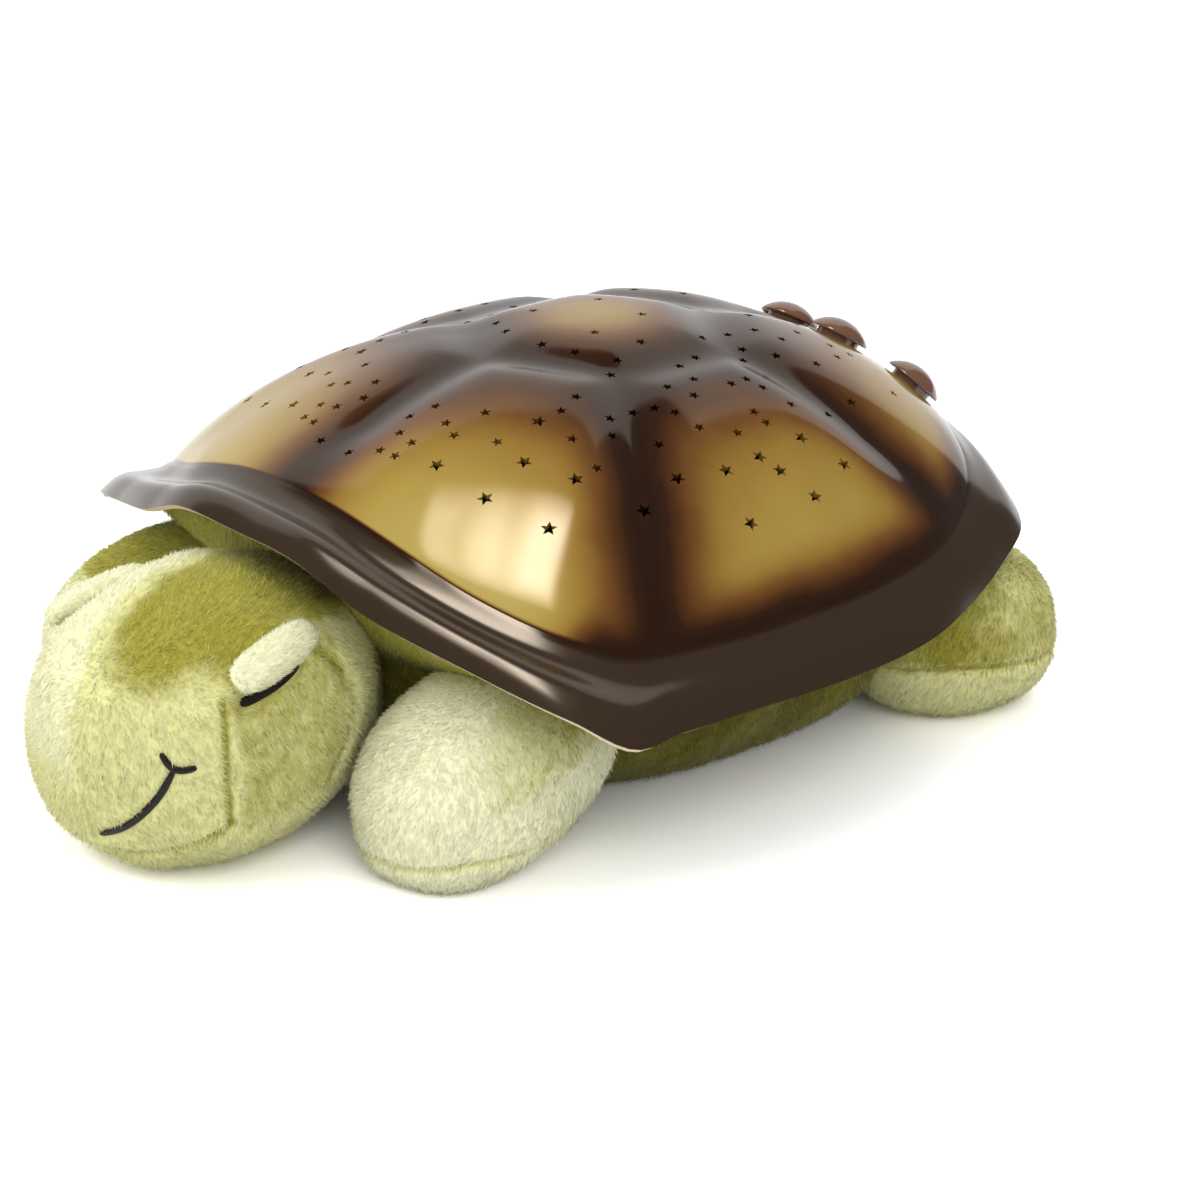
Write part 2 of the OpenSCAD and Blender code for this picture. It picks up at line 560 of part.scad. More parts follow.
// The body's shoulder, a stuffed roll sewn round the top of the cushion. It spreads to the underside
// of the brim, so that the shell is closed from below. One cross-section of six corners for each
// bearing.
shoulder_gap = 0.6;
shoulder_reach = 1.35;
shoulder_edge = 11;
shoulder_z = 50;
function torso_r(a) =
  pow(pow(abs(sin(a)) / torso_w, torso_power) + pow(abs(cos(a)) / torso_len, torso_power), -1 / torso_power);
function shoulder_section(a) =
  let (top = skin(a, shoulder_reach) - (shell_wall + shoulder_gap) * facing(a, shoulder_reach),
       level = 0.985 * outline(a, FOOT_R), low = polar(norm([top[0], top[1]]) - 3, a))
  [concat(polar(flange_inner_r, a), flange_z), concat(polar(level, a), flange_z), top,
   concat(low, top[2] - shoulder_edge), concat(polar(0.97 * torso_r(a), a), shoulder_z),
   concat(polar(flange_inner_r, a), shoulder_z)];
module shoulder_form() {
  columns = 60;
  corners = 6;
  points = [for (j = [0:columns - 1]) each shoulder_section(360 * j / columns)];
  polyhedron(points, [for (j = [0:columns - 1]) for (i = [0:corners - 1])
    let (next_i = (i + 1) % corners, next_j = (j + 1) % columns,
         a = corners * j + i, b = corners * j + next_i,
         c = corners * next_j + next_i, d = corners * next_j + i) each [[a, c, b], [a, d, c]]]);
}
FLAP_Y = [9.5, 79];
flap_x = 38;
flap_gap = 0.5;
flap_z = 0.4;
strip_t = 0.7;
strip_y = 70;
pocket_depth = flap_z + flap_t + 2 * strip_t + 0.4;
access_x = bay_x + ledge + 0.6;
ACCESS_Y = [BAY[1] - bay_y - ledge - 0.6, door_screw_y + 5.5];
module base_space() rotate_extrude() polygon([[0, belly_pad], [floor_r, belly_pad],
  [flange_inner_r, flange_z], [flange_r, flange_z], [flange_r, dome_h], [0, dome_h]]);
module shoulder() color(plush) difference() {
  shoulder_form();
  torso_form();
  base_space();
  limb_forms();
}
module torso() color(plush) difference() {
  torso_form();
  base_space();
  translate([0, 0, flange_z - ring_t]) cylinder(r = ring_r + ring_w / 2, h = ring_t + 1);
  for (a = SCREW_BEARINGS) translate(concat(polar(screw_circle_r, a), flange_z - ring_t - 2.4))
    cylinder(r = 3.4, h = 4);
  limb_forms();
  translate([-access_x, ACCESS_Y[0], -1]) cube([2 * access_x, ACCESS_Y[1] - ACCESS_Y[0], belly_pad + 2]);
  translate([-flap_x - flap_gap, FLAP_Y[0] - flap_gap, -1])
    cube([2 * (flap_x + flap_gap), FLAP_Y[1] - FLAP_Y[0] + 2 * flap_gap, pocket_depth + 1]);
}
module head() color(plush) head_form();
module front_left_flipper() color(plush) front_flipper_form(1);
module front_right_flipper() color(plush) front_flipper_form(-1);
module rear_left_flipper() color(plush) rear_flipper_form(1);
module rear_right_flipper() color(plush) rear_flipper_form(-1);
module tail() color(plush) tail_form();
// An eyelid: a flat pad on the upper side of the head, trimmed to the head's form. Its place is
// measured from the middle of the head.
EYELID_AT = [43, -6, 29];
EYELID_HALF = [7, 23, 5.5];
eyelid_tilt = 49;
eyelid_turn = 11;
module eyelid(side) difference() {
  translate(HEAD_AT) rotate(head_turn) translate([side * EYELID_AT[0], EYELID_AT[1], EYELID_AT[2]])
    rotate([0, side * eyelid_tilt, 0]) rotate(side * eyelid_turn) pad(EYELID_HALF);
  head_form();
}
module pad(half) translate([0, 0, -half[2]]) puff([0, 0, half[2]], half, 2.3, 2, 0, 0, 6, 14);
module left_eyelid() color([0.80, 0.82, 0.60]) eyelid(1);
module right_eyelid() color([0.80, 0.82, 0.60]) eyelid(-1);
module belly_flap() color(plush) translate([-flap_x, FLAP_Y[0], flap_z])
  cube([2 * flap_x, FLAP_Y[1] - FLAP_Y[0], flap_t]);
module hook_strip() color("black") translate([-30, strip_y, flap_z + flap_t]) cube([60, 7.5, strip_t]);
module loop_strip() color("black")
  translate([-30, strip_y, pocket_depth - strip_t]) cube([60, 7.5, strip_t]);

star_shell();
power_button();
amber_button();
green_button();
blue_button();
lamp_base();
fabric_ring();
shell_screws();
switch_boards();
push_switches();
switch_screws();
led_board();
amber_led();
green_led();
blue_led();
led_screws();
control_chip();
battery_cell_1();
battery_cell_2();
battery_cell_3();
contact_plates();
contact_springs();
battery_door();
battery_door_screw();
battery_leads();
switch_leads();
torso();
shoulder();
head();
left_eyelid();
right_eyelid();
front_left_flipper();
front_right_flipper();
rear_left_flipper();
rear_right_flipper();
tail();
loop_strip();
belly_flap();
hook_strip();
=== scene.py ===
"""Star night light projector: a sleeping plush turtle under a glossy moulded shell pierced with stars."""

import json
import math

import bpy
import numpy as np
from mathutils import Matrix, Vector
from mathutils.geometry import delaunay_2d_cdt

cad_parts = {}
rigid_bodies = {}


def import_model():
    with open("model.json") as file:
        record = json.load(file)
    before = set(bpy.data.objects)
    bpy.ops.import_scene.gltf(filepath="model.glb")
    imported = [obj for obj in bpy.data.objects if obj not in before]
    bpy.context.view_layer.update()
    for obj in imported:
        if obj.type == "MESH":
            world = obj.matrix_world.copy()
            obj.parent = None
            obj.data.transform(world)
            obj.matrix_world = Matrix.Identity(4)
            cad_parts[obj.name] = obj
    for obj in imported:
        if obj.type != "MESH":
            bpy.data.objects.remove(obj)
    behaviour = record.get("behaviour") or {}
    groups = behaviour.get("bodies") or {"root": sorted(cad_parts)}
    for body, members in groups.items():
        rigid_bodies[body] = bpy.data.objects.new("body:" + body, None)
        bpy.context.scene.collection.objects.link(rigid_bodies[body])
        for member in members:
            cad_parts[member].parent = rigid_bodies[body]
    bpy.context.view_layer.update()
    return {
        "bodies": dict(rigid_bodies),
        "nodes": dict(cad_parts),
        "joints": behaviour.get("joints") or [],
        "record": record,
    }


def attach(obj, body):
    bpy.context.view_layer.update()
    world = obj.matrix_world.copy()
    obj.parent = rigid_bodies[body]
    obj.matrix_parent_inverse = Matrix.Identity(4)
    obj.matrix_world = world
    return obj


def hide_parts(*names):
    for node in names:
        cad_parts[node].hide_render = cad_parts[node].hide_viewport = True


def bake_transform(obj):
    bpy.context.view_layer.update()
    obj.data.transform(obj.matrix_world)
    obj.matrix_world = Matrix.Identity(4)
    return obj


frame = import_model()
NODES = frame["nodes"]
MM = 0.001
# The turtle's left is towards +X
SIDES = ((1, "left"), (-1, "right"))

# ---------------------------------------------------------------- camera and lamps
# Where the viewer stands: round the turtle from its front left, and above it
VIEW_TURN = 50.13
VIEW_RISE = 19.93
VIEW_DISTANCE = 1.2
VIEW_TARGET = np.array([0.0, 0.0, 0.080])
LENS = 99.37
# The target lies this far right of and above the middle of the frame, as shares of the distance
TARGET_RIGHT = -0.0017
TARGET_UP = 0.0343
# Where the lamps point, in metres
LIGHT_AIM = (0, 0, 0.07)


def unit(v):
    return v / np.maximum(np.linalg.norm(v, axis=-1, keepdims=True), 1e-12)


def vectors(x, y, z):
    """Vectors from three parts, each an array or one number for all."""
    return np.stack(np.broadcast_arrays(x, y, z), -1)


def raised(plan, z):
    """Plan points at one height, or each at its own."""
    return np.concatenate([plan, np.broadcast_to(z, plan.shape[:-1])[..., None]], -1)


def make_camera():
    turn, rise = math.radians(VIEW_TURN), math.radians(VIEW_RISE)
    back = np.array([math.sin(turn) * math.cos(rise), -math.cos(turn) * math.cos(rise), math.sin(rise)])
    right = unit(np.cross([0, 0, 1], back))
    up = np.cross(back, right)
    aim = -back - TARGET_RIGHT * right - TARGET_UP * up
    data = bpy.data.cameras.new("camera")
    data.lens, data.sensor_width = LENS, 36
    data.clip_start, data.clip_end = 0.05, 40
    camera = bpy.data.objects.new("camera", data)
    camera.location = VIEW_TARGET + VIEW_DISTANCE * back
    camera.rotation_mode = "QUATERNION"
    camera.rotation_quaternion = Vector(aim).to_track_quat("-Z", "Y")
    bpy.context.scene.collection.objects.link(camera)
    bpy.context.scene.camera = camera


def area_light(name, place, size, radiance):
    """A rectangular soft box, aimed at the turtle, whose radiance doesn't change with its size."""
    data = bpy.data.lights.new(name, "AREA")
    data.shape, data.size, data.size_y = "RECTANGLE", *size
    data.energy = radiance * math.pi * size[0] * size[1]
    lamp = bpy.data.objects.new(name, data)
    lamp.location = place
    lamp.rotation_mode = "QUATERNION"
    lamp.rotation_quaternion = (Vector(place) - Vector(LIGHT_AIM)).to_track_quat("Z", "Y")
    lamp.visible_camera = False
    bpy.context.scene.collection.objects.link(lamp)
    return lamp


make_camera()
bpy.context.scene.view_settings.view_transform = "Standard"


# ---------------------------------------------------------------- shader maths
class Wire:
    """A value in a shader. Sums, differences, products and quotients of wires add Math nodes."""

    def __init__(self, shader, socket):
        self.shader, self.socket = shader, socket

    def maths(self, operation, *others):
        return self.shader.node("ShaderNodeMath", {"operation": operation}, [self, *others])

    def __add__(self, other):
        return self.maths("ADD", other)

    def __sub__(self, other):
        return self.maths("SUBTRACT", other)

    def __mul__(self, other):
        return self.maths("MULTIPLY", other)

    def __truediv__(self, other):
        return self.maths("DIVIDE", other)

    def __rsub__(self, other):
        return self.shader.node("ShaderNodeMath", {"operation": "SUBTRACT"}, [other, self])

    __radd__ = __add__
    __rmul__ = __mul__

    def step(self, low, high):
        """0 below low, 1 above high, and a smooth step between them."""
        return self.shader.node(
            "ShaderNodeMapRange",
            {"interpolation_type": "SMOOTHSTEP"},
            {"Value": self, "From Min": low, "From Max": high},
        )

    def ramp(self, *stops):
        """A colour for this value: each stop is a place and a colour."""
        made = self.shader.node("ShaderNodeValToRGB", {}, {"Fac": self})
        ramp = made.socket.node.color_ramp
        for _ in stops[2:]:
            ramp.elements.new(0.5)
        for element, (place, colour) in zip(ramp.elements, stops):
            element.position, element.color = place, (*colour, 1)
        return made


class Nodes:
    """A node tree whose nodes are added by calls."""

    def __init__(self, tree):
        self.tree = tree

    def put(self, socket, value):
        if isinstance(value, Wire):
            self.tree.links.new(value.socket, socket)
        elif isinstance(value, tuple) and len(value) == 3 and len(socket.default_value) == 4:
            socket.default_value = (*value, 1)
        else:
            socket.default_value = value

    def node(self, kind, settings=(), inputs=(), out=0):
        made = self.tree.nodes.new(kind)
        for name, value in dict(settings).items():
            setattr(made, name, value)
        pairs = inputs.items() if isinstance(inputs, dict) else enumerate(inputs)
        for key, value in pairs:
            self.put(made.inputs[key], value)
        return Wire(self, made.outputs[out])

    def axes(self, vector):
        """The three parts of a vector."""
        parts = self.node("ShaderNodeSeparateXYZ", {}, [vector]).socket.node.outputs
        return [Wire(self, part) for part in parts]


class Finish(Nodes):
    """A material: the Principled shader's sockets are set by name, with _ for a space."""

    def __init__(self, name, **sockets):
        self.material = bpy.data.materials.new(name)
        self.material.use_nodes = True
        super().__init__(self.material.node_tree)
        self.shader = self.tree.nodes["Principled BSDF"]
        self.set(**sockets)

    def set(self, **sockets):
        for name, value in sockets.items():
            self.put(self.shader.inputs[name.replace("_", " ")], value)
        return self

    def place(self):
        return self.node("ShaderNodeTexCoord", out="Object")

    def attribute(self, name):
        return self.node("ShaderNodeAttribute", {"attribute_name": name}, out="Fac")

    def noise(self, scale, detail=3, rough=0.5, stretch=(1, 1, 1)):
        """Noise from 0 to 1 whose features are about 1 / scale metres, longer where stretch is small."""
        at = self.node("ShaderNodeMapping", {}, {"Vector": self.place(), "Scale": stretch})
        sockets = {"Vector": at, "Scale": scale, "Detail": detail, "Roughness": rough}
        return self.node("ShaderNodeTexNoise", {}, sockets)

    def drift(self, height, scale, detail, rough):
        """Noise about 0 that is at most half of height away from it."""
        return (self.noise(scale, detail, rough) - 0.5) * height

    def mix(self, share, a, b):
        """From colour a at share 0 to colour b at share 1."""
        return self.node("ShaderNodeMix", {"data_type": "RGBA"}, {0: share, 6: a, 7: b}, out=2)

    def speckle(self, noise, colour, darkest):
        """A colour that the noise darkens down to a share of itself."""
        return self.mix(noise, tuple(darkest * c for c in colour), colour)

    def bump(self, height, depth, strength=1.0):
        """Bends the shading as a surface whose relief is height times depth metres."""
        sockets = {"Height": height, "Distance": depth, "Strength": strength}
        return self.set(Normal=self.node("ShaderNodeBump", {}, sockets))


def srgb(red, green, blue):
    """A colour written in 0 to 255, as the linear values that shaders use."""
    shares = (v / 255 for v in (red, green, blue))
    return tuple(v / 12.92 if v <= 0.04045 else ((v + 0.055) / 1.055) ** 2.4 for v in shares)


# ---------------------------------------------------------------- meshes
def mesh_piece(name, points, faces, *finishes, body="turtle", slot="plush", crease=None):
    """A smooth piece from points in millimetres and a list of arrays of faces. It rides on a body,
    and edges sharper than crease in degrees stay sharp."""
    mesh = bpy.data.meshes.new(name)
    corners = [face for array in faces for face in array.tolist()]
    mesh.from_pydata((np.asarray(points) * MM).tolist(), [], corners)
    mesh.update()
    mesh.shade_smooth()
    if crease:
        mesh.set_sharp_from_angle(angle=math.radians(crease))
    made = bpy.data.objects.new(name, mesh)
    bpy.context.scene.collection.objects.link(made)
    for finish in finishes:
        mesh.materials.append(finish.material)
    if body:
        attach(made, body)
    return made


def write_attribute(piece, name, values):
    made = piece.data.attributes.new(name, "FLOAT", "POINT")
    made.data.foreach_set("value", np.asarray(values, np.float32))


def dress(node, finish):
    """Gives a CAD node its finish."""
    node = NODES[node]
    node.data.materials.clear()
    node.data.materials.append(finish.material)


# ---------------------------------------------------------------- shell surface
# Half of the shell's outline: bearing from the nose, rim radius and height, dome foot radius
# and height, in millimetres. The other half mirrors it.
OUTLINE = np.array(
    [
        [0, 156, 101, 132, 111], [12, 159, 100, 134, 109], [23, 163, 89, 139, 103], [36, 171, 79, 147, 92],
        [48, 185, 69, 156, 83], [54, 189, 61, 157, 79], [59, 176, 60, 152, 78], [70, 162, 60, 144, 78],
        [84, 154, 60, 137, 79], [98, 151, 61, 135, 80], [112, 148, 63, 135, 82], [124, 150, 67, 134, 85],
        [134, 154, 71, 134, 89], [146, 150, 76, 133, 93], [163, 147, 80, 133, 96], [180, 148, 79, 132, 97],
    ],
    float,
)  # fmt: skip
RIM_R, RIM_Z, FOOT_R, FOOT_Z = 1, 2, 3, 4
DOME_H = 146.0
SHELL_WALL = 2.2
GROOVE_DEPTH = 3.8
GROOVE_W = 12.0
GROOVE_BLEND = 1.2
HEX_R = 50.0
LIP_H = 2.5
SPOKE_R = 150.0
REAR_SPOKE_R = 78.0
SPOKE_TURNS = [0, -2, -3, 0, 3, 2]
CROWN_POWER, CROWN_ROOT, BRIM_POWER = 2.2, 0.87, 1.3


def polar(radius, bearing):
    """Plan point at a radius and a bearing in degrees from the nose, towards the left side."""
    turn = np.radians(bearing)
    return np.stack([radius * np.sin(turn), -radius * np.cos(turn)], -1)


def smooth(x):
    u = np.clip(x, 0, 1)
    return u * u * (3 - 2 * u)


def cubic(u, start, end, start_slope, end_slope):
    """The cubic from start at u = 0 to end at u = 1 that has the given slopes there."""
    return (
        (2 * u**3 - 3 * u**2 + 1) * start + (u**3 - 2 * u**2 + u) * start_slope
        + (3 * u**2 - 2 * u**3) * end + (u**3 - u**2) * end_slope
    )  # fmt: skip


def outline(bearing, column):
    """The smooth curve through one column of OUTLINE: cubics that share the slope at each row."""
    t = np.abs((np.asarray(bearing, float) + 180) % 360 - 180)
    at, value = OUTLINE[:, 0], OUTLINE[:, column]
    slope = np.zeros(len(at))
    slope[1:-1] = (value[2:] - value[:-2]) / (at[2:] - at[:-2])
    i = np.clip(np.searchsorted(at, t, side="right") - 1, 0, len(at) - 2)
    h = at[i + 1] - at[i]
    u = (t - at[i]) / h
    return cubic(u, value[i], value[i + 1], h * slope[i], h * slope[i + 1])


CORNERS = polar(HEX_R, 60 * np.arange(6))
SPOKE_ENDS = [polar(REAR_SPOKE_R if i == 3 else SPOKE_R, 60 * i + SPOKE_TURNS[i]) for i in range(6)]
CENTRE_EDGES = list(zip(CORNERS, np.roll(CORNERS, -1, 0)))
SPOKES = list(zip(CORNERS, SPOKE_ENDS))


def reach(points, line):
    """Distance in plan from each point to a straight line between two points."""
    start, along = line[0], line[1] - line[0]
    share = np.clip(((points - start) @ along) / (along @ along), 0, 1)
    return np.linalg.norm(points - start - share[..., None] * along, axis=-1)


def least(distances, blend):
    """The least of several distances, blended where they meet: -blend log of the sum of
    exp(-distance / blend)."""
    return -blend * np.log(np.sum([np.exp(-d / blend) for d in distances], axis=0))


def skin(bearing, q):
    """Outer surface in millimetres: q runs from 0 at the crown to 1 at the foot and 2 at the rim."""
    share, brim = np.minimum(q, 1), np.maximum(q - 1, 0)
    foot_r, foot_z = outline(bearing, FOOT_R), outline(bearing, FOOT_Z)
    plan = polar(share * foot_r + brim * (outline(bearing, RIM_R) - foot_r), bearing)
    nearest = least([reach(plan, line) for line in CENTRE_EDGES + SPOKES], GROOVE_BLEND)
    dome = foot_z + (DOME_H - foot_z) * (1 - share**CROWN_POWER) ** CROWN_ROOT
    dome = dome - GROOVE_DEPTH * np.exp(-((nearest / GROOVE_W) ** 2)) * smooth((1 - share) * 4)
    side = np.abs((np.asarray(bearing, float) + 180) % 360 - 180)
    lip = LIP_H * np.sin(2 * np.pi * brim) * (1 - 0.6 * smooth((side - 30) / 50))
    rim = foot_z + (outline(bearing, RIM_Z) - foot_z) * brim**BRIM_POWER - lip
    return raised(plan, np.where(q <= 1, dome, rim))


def bearing_of(plan):
    return np.degrees(np.arctan2(plan[..., 0], -plan[..., 1]))


def share_of(plan):
    """q of a plan point: its radius as a share of the foot's, then of the brim's width."""
    bearing, radius = bearing_of(plan), np.linalg.norm(plan, axis=-1)
    foot, rim = outline(bearing, FOOT_R), outline(bearing, RIM_R)
    return np.where(radius <= foot, radius / foot, 1 + (radius - foot) / (rim - foot))


def height_of(plan):
    return skin(bearing_of(plan), share_of(plan))[..., 2]


def facing(plan, step=0.25):
    """Outward normal above plan points, from differences of height across a short step."""
    dx, dy = np.array([step, 0]), np.array([0, step])
    slope_x = (height_of(plan + dx) - height_of(plan - dx)) / (2 * step)
    slope_y = (height_of(plan + dy) - height_of(plan - dy)) / (2 * step)
    return unit(vectors(-slope_x, -slope_y, 1))


def on_shell(plan):
    """Frames on the shell above plan points, as rows: across the slope, up the slope, outward."""
    normal = facing(plan)
    level = np.arctan2(normal[:, 1], normal[:, 0])
    across = vectors(-np.sin(level), np.cos(level), 0)
    return np.stack([across, np.cross(normal, across), normal], 1)


# ---------------------------------------------------------------- star holes and button bores
BIG_STAR, SMALL_STAR, POINT_SHARE = 6.0, 4.6, 0.44
BIG_STARS = [
    [86, -91], [63, -99], [41, -102], [78, -73], [61, -81], [50, -66], [113, -27], [111, 4],
    [96, -23], [95, -7], [101, -3], [95, -58], [92, -41], [103, 25], [92, 15],
]  # fmt: skip
FRONT_STARS = [
    [78, -64], [48, -82], [35, -90], [28, -88], [26, -101], [26, -108], [19, -109], [18, -100],
    [13, -92], [17, -84], [64, -63], [51, -57], [48, -48], [8, -114], [34, -76],
]  # fmt: skip
SIDE_STARS = [
    [84, 6], [79, 5], [85, -8], [79, -20], [78, -37], [68, -49], [61, -44], [61, -34], [64, -27],
    [70, -23], [78, 23], [80, 39], [76, 54], [68, 83], [66, -11], [58, -4], [65, 7], [64, 15], [69, 18],
]  # fmt: skip
CROWN_STARS = [
    [17, -14], [10, -32], [22, -27], [30, -4], [35, -19], [40, -26], [58, -16], [46, 0], [43, 10],
    [31, 36], [33, 22], [12, 12],
]  # fmt: skip
REAR_STARS = [
    [49, 27], [43, 32], [51, 41], [58, 54], [51, 71], [45, 83], [41, 77], [42, 52], [34, 67],
    [33, 47], [18, 58], [22, 78],
]  # fmt: skip
STAR_TURN = 27
BUTTONS = np.array([[-38, 121.5], [-13.5, 107], [13.5, 107], [38, 121.5]])
BUTTON_NAMES = ["power_button", "amber_button", "green_button", "blue_button"]
BORE_R = 8.6
SCREW_BEARINGS = 30 + 60 * np.arange(6)
SCREW_R = 97.0


def star(size, turn):
    """A star's outline: ten corners by turns outside and inside, and each tip cut to two points."""
    corner = np.arange(10)
    radius = size / 2 * np.where(corner % 2 == 0, 1, POINT_SHARE)
    at = np.stack([radius * np.sin(np.radians(36 * corner)), radius * np.cos(np.radians(36 * corner))], -1)
    tips, inner = at[0::2], at[1::2]
    before, after = np.roll(inner, 1, 0), inner
    ring = np.stack([tips + 0.1 * (before - tips), tips + 0.1 * (after - tips), inner], 1).reshape(-1, 2)
    c, s = math.cos(math.radians(turn)), math.sin(math.radians(turn))
    return ring @ np.array([[c, s], [-s, c]])


def circle(radius, count):
    turn = 2 * np.pi * np.arange(count) / count
    return radius * np.stack([np.cos(turn), np.sin(turn)], -1)


def hole_outlines():
    """Every hole as its plan centre, its radius and its plan outline."""
    holes = []
    groups = ((BIG_STARS, BIG_STAR), (FRONT_STARS, SMALL_STAR), (SIDE_STARS, SMALL_STAR),
              (CROWN_STARS, SMALL_STAR), (REAR_STARS, SMALL_STAR))  # fmt: skip
    for places, size in groups:
        for i, (x, y) in enumerate(places):
            holes += [((side * x, y), size / 2, star(size, STAR_TURN * i)) for side in (-1, 1)]
    holes += [(tuple(at), BORE_R, circle(BORE_R, 48)) for at in BUTTONS]
    frames = on_shell(np.array([centre for centre, _, _ in holes], float))
    return [
        (np.array(centre), radius, np.array(centre) + flat @ frame[:2, :2])
        for (centre, radius, flat), frame in zip(holes, frames)
    ]


def inside(points, loop):
    """Which points lie in a closed plan loop: a ray to +X crosses it an odd number of times."""
    a, b = loop, np.roll(loop, -1, 0)
    x, y = points[:, :1], points[:, 1:]
    spans = (a[:, 1] > y) != (b[:, 1] > y)
    rise = np.where(b[:, 1] == a[:, 1], 1, b[:, 1] - a[:, 1])
    crossed = a[:, 0] + (y - a[:, 1]) / rise * (b[:, 0] - a[:, 0])
    return np.count_nonzero(spans & (x < crossed), axis=1) % 2 == 1


# The shell's plan lattice: its pitch in millimetres and the share of the foot's radius it goes out to
LATTICE_PITCH, LATTICE_EDGE = 2.3, 0.93
# The gaps from a hole to the lattice and to the rings, and to the ring of its own
LATTICE_GAP, RING_GAP, HOLE_RING = 1.7, 0.9, 0.7
EDGE_COLUMNS = 300
FOOT_SHARES = [0.94, 0.955, 0.968, 0.979, 0.987, 0.993, 0.9975, 1]
BRIM_SHARES = 1 + np.concatenate([[0.008, 0.03, 0.06], np.arange(0.1, 1.04, 0.05)])
EDGE_SHARES = np.concatenate([FOOT_SHARES, BRIM_SHARES])


def plan_triangles():
    """Plan points and triangles of the shell: a lattice of equal triangles over the dome, rings
    from there to the rim, and the outline of each hole with a ring round it."""
    holes = hole_outlines()
    x, y = np.meshgrid(np.arange(-90, 91), np.arange(-80, 81))
    lattice = LATTICE_PITCH * np.stack([x + 0.5 * (y % 2), y * math.sqrt(0.75)], -1).reshape(-1, 2)
    lattice = lattice[share_of(lattice) < LATTICE_EDGE - 0.008]
    rings = []
    for i, share in enumerate(EDGE_SHARES):
        bearing = 360 * (np.arange(EDGE_COLUMNS) + 0.5 * (i % 2)) / EDGE_COLUMNS
        rings.append(skin(bearing, np.full(EDGE_COLUMNS, share))[:, :2])
    centres = np.array([c for c, _, _ in holes])
    radii = np.array([r for _, r, _ in holes])

    def clear(points, gap, skip=None):
        """Which points keep a gap from every hole but one."""
        away = np.linalg.norm(points[:, None] - centres, axis=-1) - radii - gap
        if skip is not None:
            away[:, skip] = 1
        return away.min(axis=1) > 0

    loops = [(ring, clear(ring, RING_GAP)) for ring in rings[:-1]]
    loops += [(loop, np.full(len(loop), True)) for loop in [rings[-1], *(hole for _, _, hole in holes)]]
    around = [(c + circle(r + HOLE_RING, 12 if r < 5 else 48), i) for i, (c, r, _) in enumerate(holes)]
    points = [lattice[clear(lattice, LATTICE_GAP)]]
    points += [ring[clear(ring, 0.5 * HOLE_RING, i)] for ring, i in around]
    edges, start = [], sum(len(p) for p in points)
    for loop, kept in loops:
        at = start + np.cumsum(kept) - 1
        edges += np.stack([at, np.roll(at, -1)], -1)[kept & np.roll(kept, -1)].tolist()
        points.append(loop[kept])
        start += np.count_nonzero(kept)
    points = np.concatenate(points)
    made = delaunay_2d_cdt([Vector(p) for p in points.tolist()], edges, [], 0, 1e-5)
    plan = np.array([tuple(v) for v in made[0]])
    faces = np.array(made[2])
    middle = plan[faces].mean(axis=1)
    keep = inside(middle, rings[-1])
    for centre, radius, loop in holes:
        near = np.flatnonzero(keep & (np.linalg.norm(middle - centre, axis=1) < radius + 1))
        keep[near[inside(middle[near], loop)]] = False
    faces = faces[keep]
    a, b, c = plan[faces[:, 0]], plan[faces[:, 1]], plan[faces[:, 2]]
    turned = (b[:, 0] - a[:, 0]) * (c[:, 1] - a[:, 1]) < (b[:, 1] - a[:, 1]) * (c[:, 0] - a[:, 0])
    faces[turned] = faces[turned][:, ::-1]
    used, faces = np.unique(faces, return_inverse=True)
    return plan[used], faces.reshape(-1, 3)


# How softly the painted borders blend, in millimetres, the value of the paint on the brim, and the
# share of the foot's radius at which the dome ends and the brim begins
PAINT_BLEND, BRIM_PAINT, FOOT_SHARE = 4.0, -12, 0.9995


def border_distance(plan):
    """How far a place is from the dark paint along the plate borders: the distance in millimetres
    to a spoke, a share of that to the centre plate's edge, less outside it than inside, or 2.2 times
    that to the dome's foot, which counts only beside and behind the front plates. The three blend
    as least says. The brim goes from 0 at the foot down to BRIM_PAINT."""
    share, bearing = share_of(plan), bearing_of(plan)
    in_front = 1 - smooth((np.abs(bearing) - 38) / 14)
    foot = 2.2 * np.maximum(1 - share, 0) * outline(bearing, FOOT_R) + 60 * in_front
    centre = 0.8 - 0.32 * smooth((share - 0.3) / 0.15)
    edges = [centre * reach(plan, line) for line in CENTRE_EDGES]
    nearest = least([*edges, *(reach(plan, line) for line in SPOKES), foot], PAINT_BLEND)
    near_foot = np.clip((FOOT_SHARE - share) / 0.005, 0, 1)
    return np.where(share < FOOT_SHARE, nearest * near_foot, BRIM_PAINT * smooth((share - 1) / 0.12))


def edge_walls(faces, back):
    """Wall faces between a sheet and its copy, which starts at vertex number back: one square for
    each edge that only one face of the sheet has."""
    edges = np.concatenate([faces[:, [0, 1]], faces[:, [1, 2]], faces[:, [2, 0]]])
    keys = edges.min(axis=1) * back + edges.max(axis=1)
    _, where, count = np.unique(keys, return_index=True, return_counts=True)
    a, b = edges[where[count == 1]].T
    return np.stack([b, a, a + back, b + back], -1)


# Normals are taken no nearer than this to the crease at the foot, on either side, and to the rim
DOME_END, BRIM_START, BRIM_END = 0.994, 1.02, 1.99


def corner_normals(plan, faces):
    """Outward normal at each corner of each triangle, taken on the triangle's own side of the
    crease at the dome's foot."""
    corner = plan[faces]
    share, on_dome = share_of(corner), share_of(corner.mean(axis=1))[:, None] < 1
    share = np.where(on_dome, np.minimum(share, DOME_END), np.maximum(share, BRIM_START))
    moved = skin(bearing_of(corner), np.minimum(share, BRIM_END))[..., :2]
    return facing(moved.reshape(-1, 2), 0.15)


